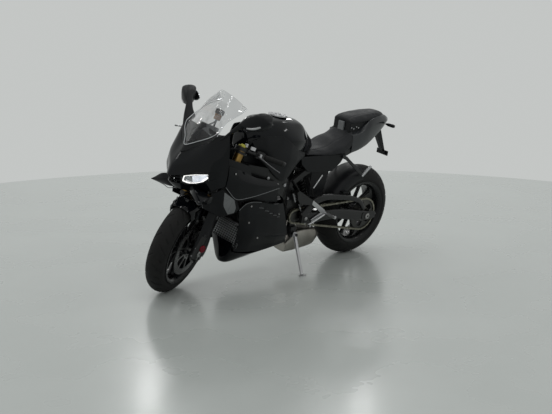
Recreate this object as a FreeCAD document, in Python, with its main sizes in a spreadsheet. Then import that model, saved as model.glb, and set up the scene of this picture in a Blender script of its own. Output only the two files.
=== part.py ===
"""Sport bike standing on its side stand, with the steering on its left stop.

Units are millimetres. Most pieces are drawn in the bike frame: the machine upright, x forward from
the rear axle, y to the rider's left, z up from the ground. Steered pieces are drawn in the steering
frame, whose z axis is the steering axis, and wheels about their own centres. Each piece then gets the
placement of its frame, which leans the machine onto its stand.
"""
import FreeCAD
import Part
import itertools
import math
import os

import Sketcher
from FreeCAD import Placement, Rotation, Vector

# name, value, what it is
SIZES = [
    ("wheelbase", 1457, "rear axle to front axle"),
    ("front_radius", 300, "front tyre's outer radius"),
    ("front_crown", 58, "front tyre's crown radius across"),
    ("rear_radius", 320, "rear tyre's outer radius"),
    ("rear_crown", 92, "rear tyre's crown radius across"),
    ("bead_radius", 218, "where both tyres meet their rims"),
    ("front_bead", 50, "half the front tyre's width at the rim"),
    ("rear_bead", 80, "half the rear tyre's width at the rim"),
    ("axle_radius", 12.5, "both wheel axles"),
    ("axle_bore_radius", 8.5, "hole through both axles"),
    ("thread_radius", 4, "M8 holes for bar ends and stand bobbins"),
    ("rake", 23.6, "steering axis from upright, degrees"),
    ("trail", 99.8, "steering axis ahead of the front contact, at the ground"),
    ("fork_offset", 28.7, "fork tubes ahead of the steering axis"),
    ("fork_track", 105, "fork tube to centre plane"),
    ("outer_tube_radius", 27, "fork outer tube"),
    ("inner_tube_radius", 22, "fork inner tube"),
    ("stem_radius", 15, "steering stem"),
    ("bar_radius", 11, "handlebar"),
    ("front_disc_radius", 160, "front brake discs"),
    ("rear_disc_radius", 110, "rear brake disc"),
    ("disc_thickness", 5, "all brake discs"),
    ("front_disc_track", 66, "front disc to centre plane"),
    ("rear_disc_track", 105, "rear disc to centre plane"),
    ("chain_line", 112, "chain to centre plane"),
    ("rear_pitch_radius", 111.3, "44 teeth at 15.875 pitch"),
    ("front_pitch_radius", 43.2, "17 teeth at 15.875 pitch"),
    ("sprocket_x", 655, "drive sprocket's centre, forward"),
    ("sprocket_z", 395, "drive sprocket's centre, up"),
    ("pivot_x", 590, "swingarm pivot, forward"),
    ("pivot_z", 385, "swingarm pivot, up"),
    ("pivot_radius", 20, "swingarm pivot tube"),
    ("stand_pin_radius", 6, "side stand's pivot pin"),
    ("fairing_wall", 3, "moulded body panels"),
    ("lean_angle", 11.32, "lean to the left on the stand, degrees"),
    ("steering_lock", 27, "steering to each side, degrees"),
    ("middle_x", 707.6, "rear axle to the middle of the leaning machine's length"),
    ("middle_y", 200.4, "contact line to the middle of its width"),
]

doc = FreeCAD.newDocument("SportBike")
sheet = doc.addObject("Spreadsheet::Sheet", "Sizes")
for row, (alias, value, note) in enumerate(SIZES, 1):
    sheet.set(f"A{row}", alias)
    sheet.set(f"B{row}", str(value))
    sheet.set(f"C{row}", note)
    sheet.setAlias(f"B{row}", alias)
doc.recompute()

NODES = []


def size(alias):
    """One driving dimension from the sheet."""
    return float(sheet.get(alias))


# ---------------------------------------------------------------- frames

def lowest_point(centre, axis, radius, crown):
    """Height of the lowest point of a round-crowned wheel whose axle points along axis."""
    return centre.z - (radius - crown) * math.sqrt(1 - axis.z ** 2) - crown


def standing_frame():
    """Bike frame on the floor: leaned, pitched until both tyres touch, middle at the origin."""
    lean = Placement(Vector(), Rotation(Vector(1, 0, 0), -size("lean_angle")))
    pitch = 0.0
    for _ in range(20):
        frame = Placement(Vector(), Rotation(Vector(0, 1, 0), pitch)).multiply(lean)
        front = frame.multiply(steering_frame()).multiply(front_axle_frame())
        rear = frame.multiply(rear_axle_frame())
        drop_front = lowest_point(front.Base, front.Rotation.multVec(Vector(0, 1, 0)),
                                  size("front_radius"), size("front_crown"))
        drop_rear = lowest_point(rear.Base, rear.Rotation.multVec(Vector(0, 1, 0)),
                                 size("rear_radius"), size("rear_crown"))
        pitch += math.degrees((drop_front - drop_rear) / size("wheelbase"))
    shift = Vector(-size("middle_x"), -size("middle_y"), -drop_rear)
    return Placement(shift, Rotation()).multiply(frame)


def steering_frame():
    """Steering frame within the bike frame, turned onto the left stop."""
    foot = Vector(size("wheelbase") + size("trail"), 0, 0)
    raked = Placement(foot, Rotation(Vector(0, 1, 0), -size("rake")))
    return raked.multiply(Placement(Vector(), Rotation(Vector(0, 0, 1), size("steering_lock"))))


def front_axle_frame():
    """Front axle within the steering frame, set by the rake, the trail and the tyre."""
    rake = math.radians(size("rake"))
    along = size("trail") * math.sin(rake) + size("front_radius") * math.cos(rake)
    return Placement(Vector(size("fork_offset"), 0, along), Rotation())


def rear_axle_frame():
    """Rear axle within the bike frame."""
    return Placement(Vector(0, 0, size("rear_radius")), Rotation())


BIKE = standing_frame()
STEERING = BIKE.multiply(steering_frame())
FRONT_WHEEL = STEERING.multiply(front_axle_frame())
REAR_WHEEL = BIKE.multiply(rear_axle_frame())
AXLE_HEIGHT = front_axle_frame().Base.z

# the side stand: its foot on the floor, and its pivot and folding axis in the bike frame
STAND_FOOT = (685 - size("middle_x"), 295 - size("middle_y"), 0)
STAND_PIVOT = Vector(640, 130, 272)
STAND_AXIS = Vector(0, 0.971, 0.238).normalize()


# ---------------------------------------------------------------- drawing helpers

def bind(obj, **sizes):
    """Set properties of an object: a text is an expression on the sheet, a number is a value."""
    for name, value in sizes.items():
        if isinstance(value, str):
            obj.setExpression(name, value)
        else:
            setattr(obj, name, value)
    return obj


def number(value):
    """The present value of a number or of an expression on the sheet."""
    return float(value) if not isinstance(value, str) else float(sheet.evalExpression(value))


def cylinder(name, radius, height, start, direction=(0, 0, 1)):
    """A round bar from start along direction."""
    bar = bind(doc.addObject("Part::Cylinder", name), Radius=radius, Height=height)
    bar.Placement = Placement(Vector(*start), Rotation(Vector(0, 0, 1), Vector(*direction)))
    return bar


def cross_bar(name, radius, x, z, reach_right, reach_left):
    """A round bar across the machine, from y = reach_right to y = reach_left."""
    return cylinder(name, radius, reach_left - reach_right, (x, reach_right, z), (0, 1, 0))


def box(name, x_range, y_range, z_range):
    """A block between two corners."""
    block = bind(doc.addObject("Part::Box", name), Length=x_range[1] - x_range[0],
                 Width=y_range[1] - y_range[0], Height=z_range[1] - z_range[0])
    block.Placement = Placement(Vector(x_range[0], y_range[0], z_range[0]), Rotation())
    return block


def fuse(name, *parts):
    """Several pieces joined into one solid."""
    return bind(doc.addObject("Part::MultiFuse", name), Shapes=list(parts), Refine=False)


def cut(name, base, *tools):
    """A piece with others taken out of it."""
    tool = tools[0] if len(tools) == 1 else fuse(name + "_tools", *tools)
    return bind(doc.addObject("Part::Cut", name), Base=base, Tool=tool, Refine=False)


def mirrored(name, part):
    """The same piece on the other side of the centre plane."""
    return bind(doc.addObject("Part::Mirroring", name), Source=part, Normal=Vector(0, 1, 0))


def group(name, *parts):
    """Separate solids that share a node."""
    return bind(doc.addObject("Part::Compound", name), Links=list(parts))


def pair(name, part):
    """A left piece and its mirror image."""
    return group(name, part, mirrored(name + "_right", part))


def solid(name, shape):
    """A computed shape as a feature."""
    feature = doc.addObject("Part::Feature", name)
    feature.Shape = shape
    return feature


def loft(name, sections):
    """A solid with flat strips between closed sections of equal point count."""
    wires = [Part.makePolygon([Vector(*p) for p in points + points[:1]]) for points in sections]
    return solid(name, Part.makeLoft(wires, True, True))


def hull(points):
    """The convex solid around a few points of which no four lie in one plane."""
    corners = [Vector(*p) for p in points]
    faces = []
    for a, b, c in itertools.combinations(corners, 3):
        normal = (b - a).cross(c - a)
        sides = [normal.dot(p - a) > 0 for p in corners if p not in (a, b, c)]
        if all(sides) or not any(sides):
            faces.append(Part.Face(Part.makePolygon([a, b, c, a])))
    shell = Part.makeShell(faces)
    shell.sewShape()
    shape = Part.makeSolid(Part.Shell(shell.Faces))
    if shape.Volume < 0:
        shape.reverse()
    return shape


def fitted_pair(name, shape, *others):
    """A left piece and its mirror image; of each, the largest part outside some other shapes."""
    both = (shape, shape.mirror(Vector(), Vector(0, 1, 0)))
    cuts = [part.cut(list(others)).Solids for part in both]
    return solid(name, Part.makeCompound([max(pieces, key=lambda piece: piece.Volume) for pieces in cuts]))


def body_loft(name, stations):
    """A solid symmetric about the centre plane; each station is x and its left half's (y, z)."""
    sections = []
    for x, half in stations:
        left = [(x, y, z) for y, z in half]
        right = [(x, -y, z) for y, z in reversed(half) if y > 0]
        sections.append(left + right)
    return loft(name, sections)


def beam(name, stations):
    """A beam of four corners; stations are x, inner y, outer y, lower z, upper z."""
    return loft(name, [[(x, inner, low), (x, outer, low), (x, outer, high), (x, inner, high)]
                       for x, inner, outer, low, high in stations])


def plate(name, outline, y_range):
    """A flat plate in a plane parallel to the centre plane, from its (x, z) outline."""
    wire = Part.makePolygon([Vector(x, y_range[0], z) for x, z in outline + outline[:1]])
    return solid(name, Part.Face(wire).extrude(Vector(0, y_range[1] - y_range[0], 0)))


def sketch(body, role, points, name="Outline"):
    """A closed outline on one of the body's own planes, each point held to both axes."""
    outline = body.newObject("Sketcher::SketchObject", name)
    plane = next(f for f in body.Origin.OriginFeatures if f.Role == role)
    outline.AttachmentSupport = [(plane, "")]
    outline.MapMode = "FlatFace"
    corners = [[number(v) for v in point] for point in points]
    for here, there in zip(corners, corners[1:] + corners[:1]):
        outline.addGeometry(Part.LineSegment(Vector(*here, 0), Vector(*there, 0)))
    for i in range(len(points)):
        outline.addConstraint(Sketcher.Constraint("Coincident", i, 2, (i + 1) % len(points), 1))
    for i, point in enumerate(points):
        for kind, value in zip(("DistanceX", "DistanceY"), point):
            held = outline.addConstraint(Sketcher.Constraint(kind, -1, 1, i, 1, number(value)))
            if isinstance(value, str):
                outline.setExpression(f"Constraints[{held}]", value)
    return outline


def new_body(name):
    """An empty body."""
    return doc.addObject("PartDesign::Body", name)


def revolve(body, points, name="Turned"):
    """Turn an outline of (across, radial) points about the body's y axis."""
    outline = sketch(body, "YZ_Plane", points, name + "Outline")
    turned = body.newObject("PartDesign::Revolution", name)
    turned.Profile = outline
    turned.ReferenceAxis = (outline, ["H_Axis"])
    turned.Angle = 360
    return turned


def pad(body, points, thickness, name="Padded"):
    """Pad an outline of (x, z) points to both sides of the body's xz plane."""
    outline = sketch(body, "XZ_Plane", points, name + "Outline")
    padded = body.newObject("PartDesign::Pad", name)
    padded.Profile = outline
    padded.SideType = "Symmetric"
    bind(padded, Length=thickness)
    return padded


def around(body, feature, count, name="Pattern"):
    """Repeat a feature evenly about the body's y axis."""
    pattern = body.newObject("PartDesign::PolarPattern", name)
    pattern.Originals = [feature]
    axis = next(f for f in body.Origin.OriginFeatures if f.Role == "Y_Axis")
    pattern.Axis = (axis, [""])
    pattern.Angle = 360
    pattern.Occurrences = count
    body.Tip = pattern
    return pattern


# every body panel has this point of the bike frame on its inner side
PANEL_INSIDE = Vector(1000, 0, 600)


def panel(name, rails, wall, open_cells=()):
    """A thin shell through a net of points, one list of points a rail.

    The wall lies on the side of the net towards the machine's middle. Cells are counted as
    (rail, point along the rail), and the open ones are left out.
    """
    net = [[Vector(*p) for p in rail] for rail in rails]
    rows, columns = len(net), len(net[0])
    cells = [(r, c) for r in range(rows - 1) for c in range(columns - 1) if (r, c) not in open_cells]

    def cell_normal(r, c):
        return (net[r + 1][c + 1] - net[r][c]).cross(net[r][c + 1] - net[r + 1][c])

    inner = {}
    for r in range(rows):
        for c in range(columns):
            around_point = [(a, b) for a in (r - 1, r) for b in (c - 1, c)
                            if 0 <= a < rows - 1 and 0 <= b < columns - 1]
            normal = sum((cell_normal(a, b).normalize() for a, b in around_point), Vector())
            inner[r, c] = net[r][c] + normal.normalize() * wall
    middle = net[rows // 2][columns // 2]
    if (inner[rows // 2, columns // 2] - middle).dot(PANEL_INSIDE - middle) < 0:
        inner = {place: net[place[0]][place[1]] * 2 - point for place, point in inner.items()}
    faces = []

    def triangle(a, b, c):
        faces.append(Part.Face(Part.makePolygon([a, b, c, a])))

    def quad(a, b, c, d):
        triangle(a, b, c)
        triangle(a, c, d)

    for r, c in cells:
        quad(net[r][c], net[r][c + 1], net[r + 1][c + 1], net[r + 1][c])
        quad(inner[r, c], inner[r + 1, c], inner[r + 1, c + 1], inner[r, c + 1])
        sides = (((r, c), (r, c + 1), (r - 1, c)), ((r + 1, c), (r + 1, c + 1), (r + 1, c)),
                 ((r, c), (r + 1, c), (r, c - 1)), ((r, c + 1), (r + 1, c + 1), (r, c + 1)))
        for start, end, neighbour in sides:
            if neighbour not in cells:
                a, b = net[start[0]][start[1]], net[end[0]][end[1]]
                quad(a, b, inner[end], inner[start])
    shell = Part.makeShell(faces)
    shell.sewShape()
    shape = Part.makeSolid(Part.Shell(shell.Faces))
    if shape.Volume < 0:
        shape.reverse()
    return solid(name, shape)


def both_sides(rail):
    """A rail of left-hand points, carried over the centre plane to the right."""
    return [(x, -y, z) for x, y, z in reversed(rail) if y > 0] + rail


def node(name, obj, frame):
    """Name a sub-part and stand it in its frame."""
    obj.Label = name
    obj.Placement = frame.multiply(obj.Placement)
    NODES.append(obj)
    return obj


# ---------------------------------------------------------------- wheels

def tyre(name, radius, crown, bead, frame):
    """A tyre: a round crown between two straight side walls, closed at the rim."""
    body = new_body(name)
    outline = body.newObject("Sketcher::SketchObject", name + "Section")
    plane = next(f for f in body.Origin.OriginFeatures if f.Role == "YZ_Plane")
    outline.AttachmentSupport = [(plane, "")]
    outline.MapMode = "FlatFace"
    centre = size(radius) - size(crown)
    reach = math.radians(82)
    edge = Vector(size(crown) * math.sin(reach), centre + size(crown) * math.cos(reach), 0)
    circle = Part.Circle(Vector(0, centre, 0), Vector(0, 0, 1), size(crown))
    start, end = math.pi / 2 - reach, math.pi / 2 + reach
    foot = Vector(size(bead), size("bead_radius"), 0)
    flip = Vector(-foot.x, foot.y, 0)
    outline.addGeometry(Part.ArcOfCircle(circle, start, end))
    outline.addGeometry(Part.LineSegment(Vector(-edge.x, edge.y, 0), flip))
    outline.addGeometry(Part.LineSegment(flip, foot))
    outline.addGeometry(Part.LineSegment(foot, edge))
    for first, first_end, second, second_end in ((0, 2, 1, 1), (1, 2, 2, 1), (2, 2, 3, 1), (3, 2, 0, 1)):
        outline.addConstraint(Sketcher.Constraint("Coincident", first, first_end, second, second_end))
    held = [("Radius", 0, f"Sizes.{crown}"),
            ("DistanceY", -1, 1, 0, 3, f"Sizes.{radius} - Sizes.{crown}"),
            ("DistanceX", -1, 1, 0, 3, "0"),
            ("DistanceX", -1, 1, 2, 2, f"Sizes.{bead}"),
            ("DistanceX", -1, 1, 2, 1, f"-Sizes.{bead}"),
            ("DistanceY", -1, 1, 2, 2, "Sizes.bead_radius"),
            ("DistanceY", -1, 1, 2, 1, "Sizes.bead_radius"),
            ("DistanceX", -1, 1, 0, 1, f"Sizes.{crown} * sin({math.degrees(reach)})"),
            ("DistanceX", -1, 1, 0, 2, f"-Sizes.{crown} * sin({math.degrees(reach)})")]
    for *where, expression in held:
        index = outline.addConstraint(Sketcher.Constraint(*where, number(expression)))
        outline.setExpression(f"Constraints[{index}]", expression)
    turned = body.newObject("PartDesign::Revolution", name + "Turned")
    turned.Profile = outline
    turned.ReferenceAxis = (outline, ["H_Axis"])
    turned.Angle = 360
    node(name, body, frame)


def rim(name, bead, hub_right, hub_left, hub_radius, spoke_count, frame):
    """A cast rim: dropped-well barrel, flanges, spokes and a bored hub."""
    body = new_body(name + "_cast")
    seat = "Sizes.bead_radius - 2"
    revolve(body, [
        (f"-Sizes.{bead} - 10", "Sizes.bead_radius + 8"), (f"-Sizes.{bead} - 5", "Sizes.bead_radius + 8"),
        (f"-Sizes.{bead} - 3", seat), (f"-Sizes.{bead} + 22", seat),
        (f"-Sizes.{bead} + 30", 196), (f"Sizes.{bead} - 30", 196),
        (f"Sizes.{bead} - 22", seat), (f"Sizes.{bead} + 3", seat),
        (f"Sizes.{bead} + 5", "Sizes.bead_radius + 8"), (f"Sizes.{bead} + 10", "Sizes.bead_radius + 8"),
        (f"Sizes.{bead} + 7", 208), (f"Sizes.{bead} - 24", 188),
        (f"-Sizes.{bead} + 24", 188), (f"-Sizes.{bead} - 7", 208)], "Barrel")
    spoke = pad(body, [(190, -9), (190, 9), (30, 15), (30, -15)], 34, "Spoke")
    around(body, spoke, spoke_count, "Spokes")
    bore = "Sizes.axle_radius + 0.3"
    hub = revolve(body, [(hub_right, bore), (hub_right, hub_radius), (-22, hub_radius), (-22, 58),
                         (22, 58), (22, hub_radius), (hub_left, hub_radius), (hub_left, bore)], "Hub")
    body.Tip = hub
    centre = cut(name + "_bored", body, cross_bar(name + "_bore", bore, 0, 0, -140, 140))
    node(name, centre, frame)


def wheels():
    tyre("front_tyre", "front_radius", "front_crown", "front_bead", FRONT_WHEEL)
    tyre("rear_tyre", "rear_radius", "rear_crown", "rear_bead", REAR_WHEEL)
    rim("front_rim", "front_bead", -63.5, 63.5, 34, 10, FRONT_WHEEL)
    rim("rear_rim", "rear_bead", -102.5, 109, 46, 10, REAR_WHEEL)


def brake_disc(name, radius, inner, track, side):
    """A ring-shaped brake disc with a row of round holes, on one side of the wheel."""
    near = side * track - size("disc_thickness") / 2
    ring = cross_bar(name + "_face", radius, 0, 0, near, near + size("disc_thickness"))
    bind(ring, Height="Sizes.disc_thickness")
    holes = [cross_bar(name + "_bore", inner, 0, 0, near - 1, near + 6)]
    for k in range(12):
        turn = math.radians(30 * k)
        holes.append(cross_bar(f"{name}_window_{k}", 11, 78 * math.cos(turn), 78 * math.sin(turn),
                               near - 1, near + 6))
    return cut(name, ring, *holes)


def brake_discs():
    left = brake_disc("front_disc_left", "Sizes.front_disc_radius", 30, size("front_disc_track"), 1)
    node("front_brake_discs", pair("front_discs", left), FRONT_WHEEL)
    rear = brake_disc("rear_disc", "Sizes.rear_disc_radius", 30, size("rear_disc_track"), -1)
    node("rear_brake_disc", rear, REAR_WHEEL)


def rear_sprocket():
    line = size("chain_line")
    disc = cross_bar("sprocket_face", "Sizes.rear_pitch_radius - 2.8", 0, 0, line - 3, line + 3)
    holes = [cross_bar("sprocket_bore", 28, 0, 0, line - 4, line + 4)]
    for k in range(5):
        turn = math.radians(72 * k)
        holes.append(cross_bar(f"sprocket_window_{k}", 18, 70 * math.cos(turn), 70 * math.sin(turn),
                               line - 4, line + 4))
    node("rear_sprocket", cut("sprocket", disc, *holes), REAR_WHEEL)


def axles():
    for name, x, z, reach, frame in (("front_axle", size("fork_offset"), AXLE_HEIGHT, 138, STEERING),
                                     ("rear_axle", 0, size("rear_radius"), 168, BIKE)):
        bar = cross_bar(name + "_bar", "Sizes.axle_radius", x, z, -reach, reach)
        bore = cross_bar(name + "_bore", "Sizes.axle_bore_radius", x, z, -reach - 1, reach + 1)
        node(name, cut(name + "_tube", bar, bore), frame)


# ---------------------------------------------------------------- steering

def fork_bar(name, radius, low, high):
    """A round bar on the left fork leg, between two heights along the steering axis."""
    return cylinder(name, radius, high - low, (size("fork_offset"), size("fork_track"), low))


def fork():
    node("fork_outer_tubes", pair("outer_tubes", fork_bar("outer_tube", "Sizes.outer_tube_radius", 600, 985)),
         STEERING)
    node("fork_inner_tubes", pair("inner_tubes", fork_bar("inner_tube", "Sizes.inner_tube_radius", 420, 600)),
         STEERING)
    ahead = size("fork_offset")
    lugs = [box(f"caliper_lug_{k}", (-70, ahead), (80, 98), (z, z + 22)) for k, z in enumerate((285, 345))]
    foot = fuse("foot_block", fork_bar("foot_bar", "Sizes.inner_tube_radius + 6", 276, 420), *lugs)
    bored = cut("foot", foot, cross_bar("foot_bore", "Sizes.axle_radius + 0.1", ahead, AXLE_HEIGHT, 60, 150))
    node("fork_feet", pair("feet", bored), STEERING)


def clamp(name, low, high, ring):
    """One fork clamp: two rings joined by a bar, open where the tubes pass."""
    ahead, track = size("fork_offset"), size("fork_track")
    bar = box(name + "_bar", (-20, ahead + 14), (-track, track), (low, high))
    left = fork_bar(name + "_ring", ring, low, high)
    whole = fuse(name + "_solid", bar, left, mirrored(name + "_ring_right", left))
    hole = fork_bar(name + "_hole", "Sizes.outer_tube_radius", low - 1, high + 1)
    return cut(name, whole, hole, mirrored(name + "_hole_right", hole))


def triple_clamps():
    lower = clamp("lower_clamp", 770, 808, 36)
    upper = clamp("upper_clamp", 942, 958, 34)
    stem = cylinder("stem", "Sizes.stem_radius", 190, (0, 0, 775))
    node("triple_clamps", fuse("clamps", lower, upper, stem), STEERING)


# handlebar: a point inside its clamp and its direction outwards, in the steering frame
BAR_START = Vector(20.7, 118, 972)
BAR_ALONG = Vector(-124, 227, 21).normalize()
BAR_AHEAD = Vector(0.8776, 0.4794, 0).normalize()
BAR_LENGTH = 260


def on_bar(along, ahead, up=0.0):
    """A point given by its distance along the left handlebar, ahead of it and above it."""
    return BAR_START + BAR_ALONG * along + BAR_AHEAD * ahead + BAR_AHEAD.cross(BAR_ALONG) * up


def bar_piece(name, radius, start, end):
    """A round piece on the left handlebar between two distances along it."""
    return cylinder(name, radius, end - start, on_bar(start, 0), BAR_ALONG)


def bar_loft(name, stations):
    """A piece beside the left handlebar; stations are along, ahead range and height range."""
    return loft(name, [[on_bar(along, ahead, up) for ahead, up in
                        ((back, low), (front, low), (front, high), (back, high))]
                       for along, back, front, low, high in stations])


def handlebars():
    ring = cut("bar_clamp", fork_bar("bar_clamp_ring", 40, 961, 984),
               fork_bar("bar_clamp_hole", "Sizes.outer_tube_radius", 950, 990))
    bar = bar_piece("bar", "Sizes.bar_radius", 21, BAR_LENGTH)
    housing = bar_loft("switch_block", [(76, -20, 26, -20, 22), (122, -20, 24, -20, 22)])
    perch = bar_loft("lever_perch", [(84, 16, 52, -10, 8), (108, 16, 50, -12, 6)])
    clip_on = cut("clip_on", fuse("clip_on_solid", ring, bar, housing, perch),
                  bar_piece("bar_thread", "Sizes.thread_radius", BAR_LENGTH - 25, BAR_LENGTH + 1))
    node("handlebars", pair("bars", clip_on), STEERING)
    grip = cut("grip", bar_piece("grip_rubber", 16.5, 126, 242),
               bar_piece("grip_bore", "Sizes.bar_radius", 120, 250))
    node("grips", pair("grip_pair", grip), STEERING)
    blade = bar_loft("lever", [(82, 54, 70, -12, -4), (120, 58, 76, -24, -15), (190, 66, 80, -44, -36),
                               (226, 70, 80, -56, -49)])
    node("levers", pair("lever_pair", blade), STEERING)
    pot = cylinder("pot", 22, 38, (-8, -127, 1066))
    lid = cylinder("pot_lid", 28, 30, (-8, -127, 1102))
    stay = cylinder("pot_stay", 6, 84, (-2, -122, 987), (-6, -5, 81))
    node("brake_reservoir", fuse("reservoir", pot, lid, stay), STEERING)


def front_calipers():
    """Two brake calipers behind the fork legs, each with a slot that the disc runs in."""
    x_back, x_front = -176, -72
    low, high = AXLE_HEIGHT - 50, AXLE_HEIGHT + 66
    track = size("front_disc_track")
    block = box("caliper_block", (x_back + size("fork_offset"), x_front), (track - 22, track + 32), (low, high))
    room = size("disc_thickness") / 2 + 5
    slot = box("caliper_slot", (size("fork_offset") - size("front_disc_radius") - 6, 0),
               (track - room, track + room), (low - 1, high + 1))
    node("front_calipers", pair("calipers", cut("caliper", block, slot)), STEERING)


def front_fender():
    """A mudguard: a channel bent round the tyre, an ear on each fork leg and a guard behind it."""
    body = new_body("fender_arch")
    outer = size("front_radius") + 14
    revolve(body, [(-80, 236), (-75, 288), (-52, outer - 7), (0, outer), (52, outer - 7), (75, 288), (80, 236),
                   (77, 236), (72, 286), (50, outer - 10), (0, outer - 3), (-50, outer - 10), (-72, 286),
                   (-77, 236)], "Arch")
    body.Placement = front_axle_frame()
    wedge = [(0, 0)] + [(900 * math.cos(math.radians(t)), 900 * math.sin(math.radians(t)))
                        for t in (45, 75, 110, 146)]
    kept = plate("fender_span", [(x + size("fork_offset"), z + AXLE_HEIGHT) for x, z in wedge], (-90, 90))
    arch = bind(doc.addObject("Part::Common", "fender_top"), Base=body, Tool=kept)
    ear = cut("fender_ear", box("fender_ear_block", (5, 52), (74, 100), (575, 597)),
              fork_bar("fender_ear_hole", "Sizes.inner_tube_radius", 560, 610))
    mudguard = fuse("fender", arch, ear, mirrored("fender_ear_right", ear))
    guard = plate("leg_guard", [(-1, 566), (-30, 560), (-45, 513), (-110, 408), (-128, 328), (-110, 296),
                                (-1, 296)], (102, 105))
    node("front_fender", group("fender_set", mudguard, guard, mirrored("leg_guard_right", guard)), STEERING)


# ---------------------------------------------------------------- frame, engine, rear end

def axis_point(height):
    """A point of the steering axis in the bike frame."""
    rake = math.radians(size("rake"))
    foot = size("wheelbase") + size("trail")
    return (foot - height * math.sin(rake), 0, height * math.cos(rake))


def steering_direction():
    rake = math.radians(size("rake"))
    return (-math.sin(rake), 0, math.cos(rake))


def main_frame():
    """Head tube, two spars, pivot plates, cross pieces, rear rails and the stand's bracket."""
    head = cylinder("head_tube", 32, 118, axis_point(819), steering_direction())
    # x, inner y, outer y, lower z, upper z
    spar = beam("spar", [(1195, 15, 44, 768, 812), (1150, 36, 64, 756, 795), (1090, 92, 124, 705, 785),
                         (960, 126, 156, 640, 760), (820, 130, 158, 560, 700), (770, 104, 134, 500, 660),
                         (712, 66, 96, 400, 620), (640, 66, 96, 330, 540), (560, 66, 96, 335, 440)])
    rail = beam("rail", [(740, 70, 92, 560, 600), (600, 82, 104, 655, 695), (480, 88, 110, 712, 750),
                         (320, 92, 110, 738, 772), (212, 90, 108, 772, 806)])
    cross = box("pivot_bridge", (575, 640), (-70, 70), (470, 530))
    upper_cross = box("shock_bridge", (545, 600), (-86, 86), (660, 692))
    hanger = box("bracket_hanger", (618, 664), (70, 96), (256, 345))
    bracket = box("bracket", (618, 664), (90, 112), (250, 320))
    pin = cylinder("stand_pin", "Sizes.stand_pin_radius", 42, STAND_PIVOT - STAND_AXIS * 28, STAND_AXIS)
    stem_bore = cylinder("stem_bore", "Sizes.stem_radius + 0.3", 140, axis_point(808), steering_direction())
    pivot_bore = cross_bar("pivot_bore", "Sizes.pivot_radius + 0.2", size("pivot_x"), size("pivot_z"), -120, 120)
    whole = fuse("frame_solid", head, spar, mirrored("spar_right", spar), rail, mirrored("rail_right", rail),
                 cross, upper_cross, hanger, bracket, pin)
    shaft_bore = cross_bar("shaft_bore", 18, size("sprocket_x"), size("sprocket_z"), 50, 110)
    node("main_frame", cut("frame", whole, stem_bore, pivot_bore, shaft_bore), BIKE)


def engine_block():
    """Crankcase, cylinders, gearbox, side covers and the drive sprocket, as one plain block."""
    line = size("chain_line")
    section = [(0, 480), (120, 480), (120, 262), (56, 192), (0, 192)]
    case = body_loft("crankcase", [(1040, section), (780, section)])
    cylinders = beam("cylinders", [(880, -112, 112, 470, 640), (1060, -112, 112, 430, 650)])
    gearbox = box("gearbox", (655, 780), (-60, 60), (300, 500))
    clutch = cross_bar("clutch_cover", 74, 860, 372, -158, -110)
    generator = cross_bar("generator_cover", 66, 880, 370, 110, 152)
    shaft = cross_bar("output_shaft", 14, size("sprocket_x"), size("sprocket_z"), 50, line + 3)
    sprocket = cross_bar("drive_sprocket", "Sizes.front_pitch_radius - 2.8",
                         size("sprocket_x"), size("sprocket_z"), line - 3, line + 3)
    whole = fuse("engine_solid", case, cylinders, gearbox, clutch, generator, shaft, sprocket)
    node("engine_block", whole, BIKE)


def radiator():
    """Radiator and oil cooler behind the front wheel."""
    water = loft("water_radiator", [[(1092, y, 350), (1122, y, 345), (1176, y, 630), (1146, y, 636)]
                                    for y in (-150, 150)])
    oil = loft("oil_cooler", [[(1076, y, 236), (1104, y, 232), (1122, y, 330), (1094, y, 334)]
                              for y in (-88, 88)])
    node("radiators", group("coolers", water, oil), BIKE)


def swingarm():
    """Two braced arms, the bridge between them and the pivot tube."""
    outline = [(-78, 300), (-78, 342), (60, 388), (190, 500), (395, 520), (520, 468), (618, 420),
               (622, 352), (520, 322), (300, 330), (110, 286), (-30, 282)]
    window = [(150, 398), (250, 462), (360, 474), (430, 420), (330, 392)]
    arm = cut("arm", plate("arm_plate", outline, (128, 156)), plate("arm_window", window, (120, 160)))
    bridge = box("arm_bridge", (395, 500), (-130, 130), (336, 420))
    tube = cross_bar("pivot_tube", "Sizes.pivot_radius", size("pivot_x"), size("pivot_z"), -156, 156)
    whole = fuse("arm_solid", arm, mirrored("arm_right", arm), bridge, tube)
    bore = cross_bar("arm_bore", "Sizes.axle_radius + 0.1", 0, size("rear_radius"), -180, 180)
    thread = cross_bar("bobbin_thread", "Sizes.thread_radius", 95, 336, 136, 157)
    node("swingarm", cut("swing", whole, bore, thread, mirrored("bobbin_thread_right", thread)), BIKE)
    shock = cylinder("shock_body", 27, 236, (455, 0, 421), (105, 0, 238))
    node("rear_shock", cut("shock", shock, box("shock_top", (400, 700), (-60, 60), (655, 760)),
                           box("shock_foot", (300, 600), (-60, 60), (300, 421))), BIKE)


def under_seat():
    """Battery box under the seat, with the inner guard's two cheeks either side of the shock absorber."""
    tray = plate("battery_box", [(590, 696), (590, 772), (330, 772), (330, 690), (385, 640), (440, 640),
                                 (510, 696)], (-60, 60))
    right = plate("guard_right", [(540, 650), (500, 700), (340, 700), (304, 640), (326, 530), (352, 462),
                                  (430, 426), (530, 440), (568, 500)], (-52, -48))
    left = plate("guard_left", [(494, 700), (340, 700), (334, 672), (346, 590), (374, 474), (494, 484)], (54, 58))
    node("under_seat_box", fuse("under_seat_solid", tray, right, left), BIKE)


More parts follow.
